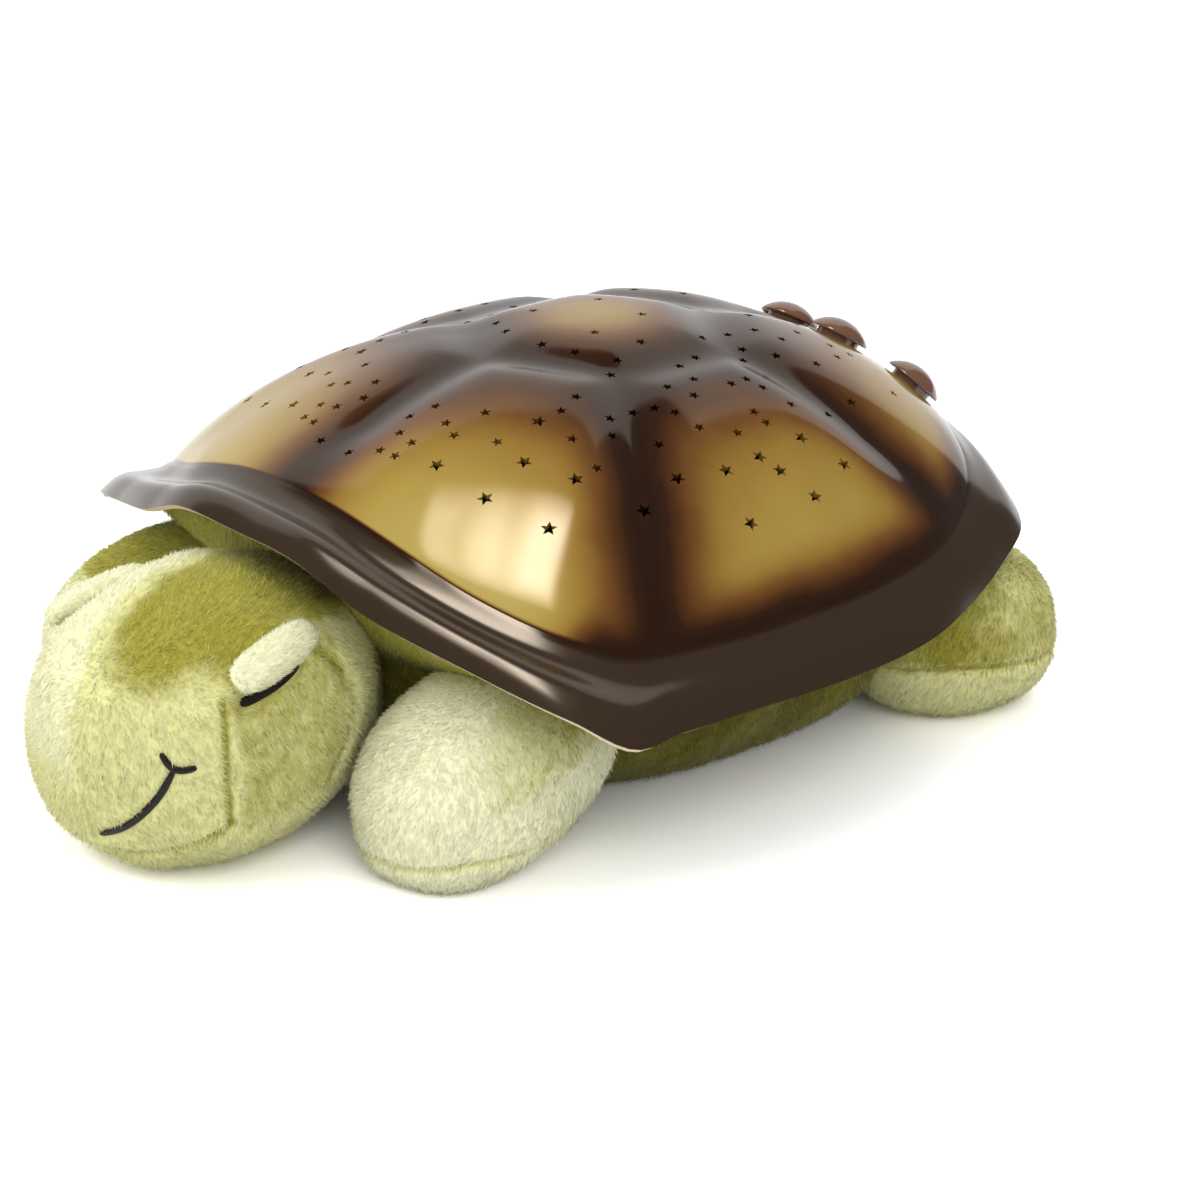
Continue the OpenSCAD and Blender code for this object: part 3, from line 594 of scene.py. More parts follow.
def make_shell():
    """The shell: the outer surface over its plan triangles, the same a wall thickness further in
    along the normals, and walls round each hole and the rim."""
    plan, faces = plan_triangles()
    normal = facing(plan)
    outer = raised(plan, height_of(plan))
    count = len(plan)
    walls = edge_walls(faces, count)
    rim = share_of(plan[walls[:, 0]]) > 1.98
    points = np.concatenate([outer, outer - SHELL_WALL * normal])
    groups = [faces, faces[:, ::-1] + count, walls[~rim], walls[rim]]
    made = mesh_piece("shell_skin", points, groups, SPRAYED_SHELL, SHELL_INSIDE, CUT_EDGE,
                      slot="shell_plastic")  # fmt: skip
    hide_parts("star_shell")
    finish_of = np.repeat([0, 1, 0, 2], [len(group) for group in groups]).astype(np.int32)
    made.data.polygons.foreach_set("material_index", finish_of)
    outward = corner_normals(plan, faces)
    inward = -outward.reshape(-1, 3, 3)[:, ::-1].reshape(-1, 3)
    a, b, d = (points[np.concatenate(groups[2:])[:, k]] for k in (0, 1, 3))
    across = np.repeat(unit(np.cross(b - a, d - a)), 4, axis=0)
    made.data.normals_split_custom_set(np.concatenate([outward, inward, across]).tolist())
    write_attribute(made, "border", np.tile(border_distance(plan), 2))


def flatten(grid, tube=False):
    """A grid's entries in the order of its mesh. A tube keeps all its rows; otherwise the first row
    and the last are one point each, and these come after the rest."""
    if tube:
        return grid.reshape(-1, *grid.shape[2:])
    return np.concatenate([grid[1:-1].reshape(-1, *grid.shape[2:]), grid[0, :1], grid[-1, :1]])


def grid_faces(rows, columns, tube=False):
    """Faces of such a mesh: squares whose columns close, and triangles round the two end points."""
    rows = rows if tube else rows - 2
    i, j = np.meshgrid(np.arange(rows if tube else rows - 1), np.arange(columns), indexing="ij")
    a, b, above = i * columns + j, i * columns + (j + 1) % columns, (i + 1) % rows * columns
    squares = np.stack([a, b, above + (j + 1) % columns, above + j], -1).reshape(-1, 4)
    if tube:
        return [squares]
    j, low, top = np.arange(columns), rows * columns, (rows - 1) * columns
    first = np.stack([np.full(columns, low), (j + 1) % columns, j], -1)
    last = np.stack([np.full(columns, low + 1), top + j, top + (j + 1) % columns], -1)
    return [squares, first, last]


def turned_part(profile, closed=False, columns=48, centre=(0, 0, 0)):
    """A profile of radius and height turned about the Z axis, as points and faces. A closed profile
    makes a ring; an open one starts and ends on the axis."""
    profile = np.asarray(profile, float)
    grid = raised(profile[:, None, :1] * circle(1, columns), profile[:, 1:]) + centre
    return flatten(grid, closed), grid_faces(len(profile), columns, closed)


def joined(parts):
    """Points and faces of several parts as one."""
    points, faces, start = [], [], 0
    for part, part_faces in parts:
        points.append(part)
        faces += [array + start for array in part_faces]
        start += len(part)
    return np.concatenate(points), faces


# ---------------------------------------------------------------- finishes of the shell
# The spray's colours from the brim over the plate borders, where it is darkest, to a plate's middle
SPRAY = (
    (0.03, srgb(50, 38, 28)), (0.12, srgb(42, 27, 17)), (0.22, srgb(34, 17, 8)),
    (0.30, srgb(44, 22, 10)), (0.38, srgb(74, 43, 18)), (0.47, srgb(104, 68, 29)),
    (0.58, srgb(136, 105, 44)), (0.75, srgb(157, 132, 62)), (0.96, srgb(172, 153, 85)),
)  # fmt: skip


def sprayed_shell():
    """Moulded shell sprayed dark along the plate borders and clear in the middle of each plate. The
    brim is a little less glossy than the dome."""
    f = Finish("sprayed_shell", IOR=1.52, Specular_Tint=(1.0, 0.84, 0.66))
    border = f.attribute("border")
    colour = ((border + f.drift(11, 22, 3, 0.55) - BRIM_PAINT) / 60).ramp(*SPRAY)
    brim = 1 - border.step(-9, -4)
    return f.set(Base_Color=colour, Roughness=brim * 0.07 + 0.1)


def bare_shell(name, colour):
    """The bare plastic on the inside of the shell or on its cut edge."""
    f = Finish(name, Roughness=0.4)
    return f.set(Base_Color=f.speckle(f.noise(60, 2), colour, 0.8))


# ---------------------------------------------------------------- cloth forms
def spin(degrees):
    """Rows of a frame turned about the Z axis, for points that are written as rows."""
    c, s = math.cos(math.radians(degrees)), math.sin(math.radians(degrees))
    return np.array([[c, s, 0], [-s, c, 0], [0, 0, 1]])


def tip(degrees):
    """Rows of a frame turned about the Y axis."""
    c, s = math.cos(math.radians(degrees)), math.sin(math.radians(degrees))
    return np.array([[c, 0, -s], [0, 1, 0], [s, 0, c]])


def path_distance(points, path):
    """Distance of each point to the nearest place on a path of straight stretches."""
    path = np.asarray(path, float)
    start, along = path[:-1], path[1:] - path[:-1]
    away = points[..., None, :] - start
    share = np.clip((away * along).sum(-1) / (along * along).sum(-1), 0, 1)
    return np.linalg.norm(away - share[..., None] * along, axis=-1).min(-1)


def curve_through(points, steps=8):
    """A smooth path through points: cubics whose slope at a point is half the step across it."""
    p = np.asarray(points, float)
    slope = np.concatenate([[p[1] - p[0]], (p[2:] - p[:-2]) / 2, [p[-1] - p[-2]]])
    u = np.arange(steps)[:, None] / steps
    stretches = [cubic(u, p[i], p[i + 1], slope[i], slope[i + 1]) for i in range(len(p) - 1)]
    return np.concatenate([*stretches, p[-1:]])


def ripple(points, wavelength, seed, waves=9):
    """A gentle unevenness from about -1 to 1: a sum of sine waves that run in seeded directions."""
    pick = np.random.default_rng(seed)
    way = unit(pick.normal(size=(waves, 3)))
    length = wavelength * pick.uniform(0.7, 1.5, waves)
    phase = pick.uniform(0, 6.28, waves)
    return np.sin(points @ way.T * (2 * np.pi / length) + phase).sum(-1) / math.sqrt(waves)


def tousled(ways, own, amount, seeds):
    """Ways that a ripple for each axis turns a little."""
    return ways + amount * np.stack([ripple(own, 30, seed) for seed in seeds], -1)


def no_painted_shading(own):
    """No painted light or shade: level 0, the plain pale pile."""
    return np.zeros(own.shape[:-1])


class Cloth:
    """A closed cloth form as a grid of points: rows go up its outside and columns go round each
    row. A tube's last row joins its first; on a bag the first row and the last are one point each.
    own holds the same points in the form's own frame, whose axes are the rows of frame."""

    def __init__(self, points, own, frame=np.eye(3), tube=False):
        self.points, self.own, self.frame, self.tube = points, own, frame, tube
        along = np.roll(points, -1, 1) - np.roll(points, 1, 1)
        up = np.roll(points, -1, 0) - np.roll(points, 1, 0) if tube else np.gradient(points, axis=0)
        self.normals = unit(np.cross(along, up))
        if not tube:
            self.normals[0], self.normals[-1] = -frame[2], frame[2]

    def mesh(self, name, painted_shading=no_painted_shading, body="turtle"):
        """The cloth as a closed mesh."""
        faces = grid_faces(*self.points.shape[:2], self.tube)
        made = mesh_piece(name, flatten(self.points, self.tube), faces, CLOTH, body=body)
        write_attribute(made, "painted_shading", painted_shading(flatten(self.own, self.tube)))
        return made

    def stuffed(self, name, node, painted_shading=no_painted_shading, fill=0.8):
        """The cloth as a piece that stands for a node, which it hides."""
        made = self.mesh(name, painted_shading)
        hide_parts(node)

    def scatter(self, count, pick):
        """Random places on the cloth, spread by area: points, normals and own-frame points."""
        last = len(self.points) if self.tube else len(self.points) - 1
        corner = [np.roll(self.points, shift, (0, 1)) for shift in ((0, 0), (0, -1), (-1, 0))]
        area = np.linalg.norm(np.cross(corner[1] - corner[0], corner[2] - corner[0]), axis=-1)[:last]
        chosen = np.sort(pick.choice(area.size, count, p=(area / area.sum()).ravel()))
        i, j = np.divmod(chosen, self.points.shape[1])
        u, v = pick.random((2, count, 1))
        k, above = (j + 1) % self.points.shape[1], (i + 1) % len(self.points)

        def blend(grid):
            lower = grid[i, j] * (1 - u) + grid[i, k] * u
            upper = grid[above, j] * (1 - u) + grid[above, k] * u
            return lower * (1 - v) + upper * v

        return blend(self.points), unit(blend(self.normals)), blend(self.own)


# How wide the turn is, in millimetres, from a form's side to the flat on which it lies
FLOOR_ROUND = 2


class Stuffed(Cloth):
    """A sewn and stuffed form. In its own frame a point in direction d lies at
    half * d / ((|dx|^e + |dy|^e)^(f/e) + |dz|^f)^(1/f). Seams are pressed in and the cloth beside
    them swells, the cloth is a little uneven, the rear end is raised by lift and the front end
    lowered by it, and the form is flattened where it lies on the floor: a height z becomes half of
    z plus the root of z squared plus FLOOR_ROUND squared."""

    def __init__(self, centre, half, powers, frame=np.eye(3), taper=0, lift=0, seams=(), seed=1, uneven=0.7,
                 rows=110, columns=220, shape=None):  # fmt: skip
        self.centre, self.half, self.powers = np.array(centre, float), np.array(half, float), powers
        self.frame, self.taper, self.lift, self.seams = frame, taper, lift, seams
        self.seed, self.uneven, self.shape = seed, uneven, shape
        v = np.radians(np.linspace(-90, 90, rows + 1))[:, None]
        w = 2 * np.pi * np.arange(columns)[None] / columns
        own = self.surface(vectors(np.cos(v) * np.cos(w), np.cos(v) * np.sin(w), np.sin(v)))
        super().__init__(self.place(own), own, frame)

    def surface(self, ways):
        """The plain form in its own frame."""
        e, f = self.powers
        x, y, z = np.abs(np.moveaxis(ways, -1, 0))
        scale = ((x**e + y**e) ** (f / e) + z**f) ** (-1 / f)
        out = ways * scale[..., None] * self.half
        out[..., 0] *= 1 + self.taper * out[..., 1] / self.half[1]
        return out

    def on(self, points):
        """Points moved along rays from the middle on to the plain form."""
        return self.surface(unit(np.asarray(points, float) / self.half))

    def place(self, own):
        """Sewn, uneven and laid down, in the turtle's frame."""
        out = unit(own / self.half**2)
        moved = own + out * (self.uneven * ripple(own, 34, self.seed))[..., None]
        for path, depth, width in self.seams:
            d = path_distance(own, self.on(path)) / width
            swelling = 0.35 * np.exp(-(((d - 2.2) / 1.6) ** 2))
            moved = moved + out * (depth * (swelling - np.exp(-(d**2))))[..., None]
        if self.shape:
            moved = self.shape(moved)
        moved[..., 2] += self.lift * own[..., 1] / self.half[1]
        world = moved @ self.frame + self.centre
        world[..., 2] = 0.5 * (world[..., 2] + np.sqrt(world[..., 2] ** 2 + FLOOR_ROUND**2))
        return world


# Tufts of the pile in millimetres, how far they lean from the normal and how evenly, and how far
# their roots are sunk
TUFT_LENGTH, TUFT_WIDTH, TUFT_LEAN, LEAN_SPREAD, ROOT_DEPTH = 3.0, 0.55, 62, 9, 0.5
# How much of a tuft's way is chance, and how far its shading is bent along its way and by chance
WAY_CHANCE, SHADE_ALONG, SHADE_CHANCE = 0.28, 0.08, 0.24
# No tuft comes nearer to the floor than this
LEAST_HEIGHT = 0.15


def make_pile(name, form, count, comb, keep, painted_shading=no_painted_shading, length=TUFT_LENGTH, *, seed):
    """Short pile: closed three-sided tufts that lean along the way the cloth is brushed. Each has
    a root of three corners sunk in the cloth and one tip, and shades with the cloth's normal bent a
    little at random. Its texture cell is its place in the order of tufts."""
    pick = np.random.default_rng(seed)
    root, normal, own = form.scatter(count, pick)
    kept = keep(root, own, normal)
    root, normal, own = root[kept], normal[kept], own[kept]
    n = len(root)
    way = comb(own) @ form.frame + WAY_CHANCE * pick.normal(size=(n, 3))
    way = unit(way - (way * normal).sum(-1, keepdims=True) * normal)
    angle = np.radians(TUFT_LEAN + pick.normal(0, LEAN_SPREAD, n))[:, None]
    axis = unit(normal * np.cos(angle) + way * np.sin(angle))
    side = unit(np.cross(axis, normal))
    rise = np.cross(side, axis)
    long = length * pick.uniform(0.7, 1.25, (n, 1))
    wide = TUFT_WIDTH * pick.uniform(0.7, 1.2, (n, 1))
    start = root - ROOT_DEPTH * normal
    corners = [-wide / 2 * side, wide / 2 * side, 0.6 * wide * rise, long * axis]
    points = np.stack([start + corner for corner in corners], 1).reshape(-1, 3)
    points[:, 2] = np.maximum(points[:, 2], LEAST_HEIGHT)
    at = 4 * np.arange(n)[:, None, None]
    faces = (at + np.array([[0, 1, 2], [1, 0, 3], [2, 1, 3], [0, 2, 3]])).reshape(-1, 3)
    made = mesh_piece(name, points, [faces], PILE)
    bent = unit(normal + SHADE_ALONG * way + SHADE_CHANCE * pick.normal(size=(n, 3)))
    made.data.normals_split_custom_set_from_vertices(np.repeat(bent, 4, axis=0).tolist())
    write_attribute(made, "tip", np.tile([0, 0, 0, 1], n))
    write_attribute(made, "tone", np.repeat(pick.random(n), 4))
    write_attribute(made, "painted_shading", np.repeat(painted_shading(own), 4))
    cells = math.ceil(math.sqrt(n))
    cell = np.stack([np.arange(n) % cells, np.arange(n) // cells], -1)[:, None]
    inset = np.array([[0.1, 0.1], [0.9, 0.1], [0.5, 0.5], [0.5, 0.9]])
    spots = ((cell + inset) / cells).reshape(-1, 2)[faces.ravel()]
    made.data.uv_layers.new(name="OFBake").data.foreach_set("uv", spots.astype(np.float32).ravel())


def thread_part(path, normals, half_wide, half_high, sides=10):
    """An oval thread along a path on a surface: half_wide across it and half_high off it, drawn in
    to a point at both ends. Points and faces."""
    side = unit(np.cross(normals, unit(np.gradient(path, axis=0))))
    turn = 2 * np.pi * np.arange(sides) / sides
    full = np.sqrt(1 - np.linspace(-1, 1, len(path)) ** 8)[:, None, None]
    across = half_wide * full * np.cos(turn)[:, None] * side[:, None]
    grid = path[:, None] + across + half_high * full * np.sin(turn)[:, None] * normals[:, None]
    return flatten(grid), grid_faces(len(path), sides)


# ---------------------------------------------------------------- finishes of the plush
# The pile's colour at its root, half way and at its tip, for each level of painted light and shade: from -1,
# painted light, through 0, the plain pale pile, to 2, deep painted shade. Each darker root is painted shade
# down in the pile
PILE_TONES = {
    -1: (srgb(226, 226, 172), srgb(250, 249, 214), srgb(255, 255, 240)),
    0: (srgb(196, 194, 120), srgb(229, 227, 165), srgb(249, 247, 210)),
    1: (srgb(112, 107, 26), srgb(168, 162, 66), srgb(214, 208, 116)),
    2: (srgb(60, 56, 12), srgb(98, 92, 30), srgb(142, 135, 62)),
}


PLUSH_SHEEN = srgb(236, 234, 176)


def pile_colour(finish, share):
    """The tones mixed as the attribute of painted light and shade says, shifted in random patches."""
    ruffle = finish.drift(0.5, 28, 3, 0.6) + finish.drift(0.7, 190, 2, 0.6)
    shade_level = finish.attribute("painted_shading") + ruffle
    colour = None
    for at, tones in PILE_TONES.items():
        tone = share.ramp(*zip((0, 0.6, 1), tones))
        colour = tone if colour is None else finish.mix(shade_level.step(at - 1.0, at), colour, tone)
    return colour


def pile_finish():
    """Minky pile: each tuft is pale at its tip and darker at its root, as painted shade down in the pile."""
    f = Finish("plush_pile", Roughness=0.8, Specular_IOR_Level=0.1, Sheen_Weight=0.35, Sheen_Roughness=0.4,
               Sheen_Tint=PLUSH_SHEEN)  # fmt: skip
    return f.set(Base_Color=pile_colour(f, f.attribute("tip") * 0.5 + f.attribute("tone") * 0.5))


def cloth_finish():
    """The cloth under the pile, in the darker root tones as painted shade between the tufts, in fine streaks.
    """
    f = Finish("plush_cloth", Roughness=0.85, Specular_IOR_Level=0.1, Sheen_Weight=0.2, Sheen_Roughness=0.5,
               Sheen_Tint=PLUSH_SHEEN)  # fmt: skip
    streak = f.noise(900, 2, 0.6, stretch=(1, 1, 0.35))
    f.set(Base_Color=pile_colour(f, streak * 0.75))
    return f.bump(streak, 0.0006, 0.5)


def thread_finish():
    """Black embroidery thread in close stitches."""
    f = Finish("black_thread", Roughness=0.55, Specular_IOR_Level=0.3)
    strand = f.noise(1400, 2)
    f.set(Base_Color=f.mix(strand, srgb(6, 5, 5), srgb(34, 29, 26)))
    return f.bump(strand, 0.0003, 0.6)


PILE, CLOTH, THREAD = pile_finish(), cloth_finish(), thread_finish()


# ---------------------------------------------------------------- head
HEAD_AT, HEAD_HALF, HEAD_TURN, HEAD_LIFT = (4, -173, 44), (53, 59, 45), 12, 6


def mirrored(path, side):
    return np.asarray(path, float) * [side, 1, 1]


SIDE_SEAM = [[39.7, -31.2, 25.4], [44, -34.8, 12], [44.4, -35.5, 0], [43.9, -34, -15.1]]
CHIN_SEAM = [[43.9, -34, -15.1], [33, -45, -23], [17, -53, -27], [0, -55, -28.5]]
CHEEK_SEAM = [[41.5, 2.5, 32], [44.1, 7.8, 28.8], [48.5, 13.1, 20.6], [51.2, 17.7, 7.4],
              [52.1, 13, -4.5], [50.9, 6, -14]]  # fmt: skip
NOSE_SEAM = [[0, -21, 43], [-1, -46, 31], [-5, -57, 12], [-7, -59, -8]]
MOUTH = [[33.9, -48, 8.3], [29.8, -51.4, -0.8], [23.6, -54.2, -8.5], [15.5, -55.5, -15.2],
         [4.4, -54.9, -20.6]]  # fmt: skip
MOUTH_TICK = [[29.8, -49.7, 13.6], [33.9, -48, 8.3], [38.9, -43, 8.1]]
EYE_SLIT = [[42.8, -26.0, 23.6], [44.3, -17, 24.3], [45.2, -9, 25.7], [45.0, -1, 27.9]]
LID_AT, LID_HALF, LID_TILT, LID_TURN = (41.8, -8.5, 31.5), (6.8, 20.5, 6.2), 49, 9


def head_seams():
    paths = [(NOSE_SEAM, 0.5, 1.0)]
    for side in (-1, 1):
        paths += [(mirrored(SIDE_SEAM, side), 1.5, 1.3), (mirrored(CHIN_SEAM, side), 1.4, 1.4),
                  (mirrored(CHEEK_SEAM, side), 1.3, 2.4), (mirrored(EYE_SLIT, side), 2.4, 2.8)]  # fmt: skip
    paths.append((MOUTH, 0.9, 1.8))
    return [(curve_through(path), depth, width) for path, depth, width in paths]


def near(own, form, paths, width):
    """1 on the paths and less with distance: the most of exp(-(distance / width)^2)."""
    return np.max([np.exp(-((path_distance(own, form.on(path)) / width) ** 2)) for path in paths], axis=0)


def head_painted_shading(own):
    """Painted light and shade on the head: painted shade on the crown from its middle to the eyelids, deeper
    towards the nape under the shell; a little painted shade on the cheeks; painted light on the sides behind
    the cheek folds and on the far side."""
    x, y, z = np.moveaxis(own, -1, 0)
    drift, out = ripple(own, 30, 21), np.abs(x)
    middle = np.where(y < -20, -14 - 0.45 * (y + 20), -14 - 0.1 * (y + 20)) + 1.5 * drift
    crown = smooth((z - 24 + 3 * drift) / 15) * smooth((x - middle + 2) / 13) * (1 - smooth((out - 37) / 5))
    cheek = 0.45 * smooth((out - 38) / 5) * smooth((y + 33) / 4) * smooth((z + 22) / 8)
    fold = -0.75 * smooth((out - 31) / 5) * smooth((y - 8 - 0.2 * z) / 6)
    nape = 0.9 * smooth((y - 4) / 26) * crown + 1.7 * smooth((y - 33 + drift) / 7)
    far = -0.7 * smooth((middle - x) / 7) * smooth((z + 10) / 20)
    return crown + cheek + fold + nape + far + 0.06


def head_comb(own):
    """Down the face and the cheeks, and back over the crown."""
    x, over = own[..., 0], smooth((own[..., 2] - 22) / 20)
    way = vectors(0.35 * np.sign(x) * (1 - over), 0.45 + 0.6 * over, -1.0 + 0.9 * over)
    return tousled(way, own, 0.35, (31, 32, 33))


def off_floor(root, own, normal):
    return (root[:, 2] > 0.8) & (normal[:, 2] > -0.9)


def make_stitches(head):
    """Mouth, on the left half of the face, and closed eyes: satin stitch along paths on the head."""
    parts = []
    sewn = ((-1, EYE_SLIT, 2.0), (1, MOUTH, 1.25), (1, MOUTH_TICK, 1.15), (1, EYE_SLIT, 2.0))
    for side, path, wide in sewn:
        own = head.on(curve_through(mirrored(path, side), 14))
        flat = unit(own / head.half**2) @ head.frame
        parts.append(thread_part(head.place(own) + 0.9 * flat, flat, wide, 0.8))
    mesh_piece("face_stitches", *joined(parts), THREAD)


# The lids take one pale level, near the painted-light end of the scale of painted light and shade.
def lid_painted_shading(own):
    return -0.8 + 0 * own[..., 0]


def make_eyelid(side, name):
    """A closed lid, thick along its lower edge and thin along its upper edge."""
    frame = spin(LID_TURN * side) @ tip(LID_TILT * side) @ spin(HEAD_TURN)
    moved = 0.8 if side < 0 else 0
    at = np.array(HEAD_AT) + (mirrored(LID_AT, side) + moved) @ spin(HEAD_TURN)

    def folded(own):
        thick = 0.85 + 0.25 * side * own[..., 0] / LID_HALF[0]
        return own * vectors(1, 1, thick)

    def comb(own):
        return vectors(0.2 * side + 0 * own[..., 0], 1, 0.2)

    lid = Stuffed(at, LID_HALF, (2.8, 2.2), frame, seed=31, uneven=0.25, rows=40, columns=90, shape=folded)
    lid.stuffed(f"{name}_eyelid_cloth", f"{name}_eyelid", lid_painted_shading)
    make_pile(f"{name}_eyelid_pile", lid, 4200, comb, off_floor, lid_painted_shading, length=2.2, seed=32)


def make_head():
    head = Stuffed(HEAD_AT, HEAD_HALF, (2.3, 2.4), spin(HEAD_TURN), lift=HEAD_LIFT, seams=head_seams(),
                   seed=11, rows=150, columns=300)  # fmt: skip
    creases = [curve_through(mirrored(path, side)) for side in (-1, 1) for path in (SIDE_SEAM, CHIN_SEAM)]
    stitched = (MOUTH, MOUTH_TICK, EYE_SLIT, mirrored(EYE_SLIT, -1))
    stitches = [head.on(curve_through(path)) for path in stitched]
    folds = [curve_through(mirrored(CHEEK_SEAM, side)) for side in (-1, 1)]

    # Painted shade also along the side and chin seams and along the cheek folds, on top of the head's own
    # painted light and shade.
    def painted_shading(own):
        return head_painted_shading(own) + 0.9 * near(own, head, creases, 1.2) + 0.4 * near(own, head, folds, 1.8)

    def keep(root, own, normal):
        bare = np.min([path_distance(own, path) for path in stitches], axis=0) < 1.3
        return off_floor(root, own, normal) & ~bare & (root[:, 1] < -112)

    head.stuffed("head_cloth", "head", painted_shading)
    make_pile("head_pile", head, 48000, head_comb, keep, painted_shading, seed=12)
    make_stitches(head)
    for side, name in SIDES:
        make_eyelid(side, name)


# ---------------------------------------------------------------- flippers and tail
FRONT_FLIPPERS = {"left": ((79, -113, 31), 6), "right": ((-90, -126, 34), -25)}
FRONT_HALF, FRONT_LIFT = (34, 46, 31), 12
REAR_AT, REAR_HALF, REAR_TURN = (87, 96, 28), (33, 38, 30.5), -25
FRONT_SEAM = [[-32, -12, -16], [-24, -34, -12], [-8, -44, -9], [8, -44, -8], [20, -39, -8], [28, -29.6, -9.4],
              [31.6, -10.6, -14.2], [32, 8, -17]]  # fmt: skip


def level_seam(half, height, count=48):
    """A level seam all round a form."""
    turn = 2 * np.pi * np.arange(count + 1) / count
    return vectors(half[0] * np.cos(turn), half[1] * np.sin(turn), height)


def limb_comb(own):
    """Outward from the body and down."""
    return tousled(vectors(0.2 * np.sign(own[..., 0]), -0.35, -1), own, 0.4, (41, 42, 43))


def tail_comb(own):
    """Backward and down."""
    return vectors(0 * own[..., 0], 1, -0.6)


def make_flipper(name, at, half, powers, turn, lift, seam, seed, count, painted_shade):
    """A flipper with one seam round its edge. Its pile takes painted light and shade from the given function,
    and painted shade along the seam.
    """
    form = Stuffed(at, half, powers, spin(turn), lift=lift, seams=[(seam, 1.3, 1.5)], seed=seed)

    def painted_shading(own):
        return painted_shade(own) + 1.1 * near(own, form, [seam], 1.3)

    form.stuffed(name + "_cloth", name, painted_shading)
    make_pile(name + "_pile", form, count, limb_comb, off_floor, painted_shading, seed=seed + 1)


def front_flipper_painted_shade(own):
    """Pale, but for painted shade on the upper face near the shell's brim and a patch of painted shade on its
    outer side.
    """
    x, y, z = np.moveaxis(own, -1, 0)
    drift = ripple(own, 30, 51)
    brim = 1.05 * smooth((y + 14 + 5 * drift) / 22) * smooth((z - 4) / 14)
    side = 0.45 * smooth((x - 12 + 4 * drift) / 10) * smooth((z - 2) / 8) * smooth((y + 30) / 10)
    return brim + side - 0.85


def far_flipper_painted_shade(own):
    """Painted shade over the whole upper face, which the shell's front shades, but for its outer edge, which
    is pale.
    """
    _, y, z = np.moveaxis(own, -1, 0)
    return 1.8 * smooth((z - 19 + 3 * ripple(own, 30, 52)) / 8) * smooth((y + 38) / 14) - 0.7


def rear_flipper_painted_shade(own):
    """Painted shade above the seam, where the brim shades it, deeper towards the front; pale below the seam.
    """
    _, y, z = np.moveaxis(own, -1, 0)
    top = smooth((z + 4) / 4) * (0.7 + 0.5 * smooth((12 - y) / 30))
    return top + 0.12 * ripple(own, 26, 53) - 0.15


def make_limbs():
    for side, name in SIDES:
        at, turn = FRONT_FLIPPERS[name]
        seam = curve_through(mirrored(FRONT_SEAM, side))
        make_flipper(f"front_{name}_flipper", at, FRONT_HALF, (2.5, 2.5), turn, FRONT_LIFT,
                     seam, 13 + side, 32000, front_flipper_painted_shade if side > 0 else far_flipper_painted_shade)  # fmt: skip
        at = (REAR_AT[0] * side, *REAR_AT[1:])
        make_flipper(f"rear_{name}_flipper", at, REAR_HALF, (2.5, 2.6), REAR_TURN * side, 0,
                     level_seam(REAR_HALF, -4.0), 17 + side, 24000, rear_flipper_painted_shade)  # fmt: skip
    tail = Stuffed((0, 134, 22), (17, 26, 14), (2, 2), taper=-0.4, seed=23, rows=60, columns=120)
    tail.stuffed("tail_cloth", "tail")
    make_pile("tail_pile", tail, 7000, tail_comb, off_floor, seed=24)


# ---------------------------------------------------------------- body
TORSO_HALF, TORSO_POWER = (105, 122), 2.4
TORSO_SIDE = [[0.70, 0.3], [0.80, 5], [0.885, 13], [0.95, 25], [0.985, 40], [1, 56], [0.985, 72]]
ACCESS_HALF, ACCESS_AT = (29.05, 25.3), (0, 41.7)
POCKET_HALF, POCKET_AT, POCKET_DEPTH = (38.5, 35.25), (0, 44.25), 4.4
BODY_COLUMNS = 300
# The power of an outline that is a rectangle with small round corners
BOX_POWER = 14


def loop(half, power, centre=(0, 0)):
    """A rounded plan outline: half * d / (|dx|^power + |dy|^power)^(1/power)."""
    way = circle(1, BODY_COLUMNS)
    return np.array(centre) + half * way * (np.abs(way) ** power).sum(-1, keepdims=True) ** (-1 / power)


def torso_form():
    """The body cushion as a tube round the battery opening: from the opening's lower edge over the
    flap's pocket and the belly, up the side, over the rim and down the seat of the lamp base."""
    access, pocket = loop(ACCESS_HALF, BOX_POWER, ACCESS_AT), loop(POCKET_HALF, BOX_POWER, POCKET_AT)
    rows = [(access, POCKET_DEPTH), (pocket, POCKET_DEPTH), (pocket, 0.3)]
    edge = loop(TORSO_HALF, TORSO_POWER)
    rows += [(pocket + u * (0.70 * edge - pocket), 0.3) for u in np.linspace(0.1, 0.95, 12)]
    rows += [(share * edge, z) for share, z in curve_through(TORSO_SIDE, 9)]
    seat = [[102, 72], [102, 69.4], [92.2, 69.4], [80, 42.5], [68.2, 15.9], [60, 15.9]]
    rows += [(loop((r, r), 2), z) for r, z in seat] + [(access, 15.9)]
    points = np.stack([raised(plan, z) for plan, z in rows])
    lifted = smooth((points[..., 2] - 2) / 8) * (np.arange(len(rows)) < len(rows) - 7)[:, None]
    out = raised(unit(points[..., :2]), 0)
    points = points + out * (1.2 * lifted * ripple(points, 46, 61))[..., None]
    return Cloth(points, points, tube=True)


def rounded(section, times=3):
    """A closed section with its corners cut: each side keeps its middle half, several times over."""
    for _ in range(times):
        after = np.roll(section, -1, 0)
        section = np.stack([0.75 * section + 0.25 * after, 0.25 * section + 0.75 * after], 1)
        section = section.reshape(-1, *section.shape[2:])
    return section


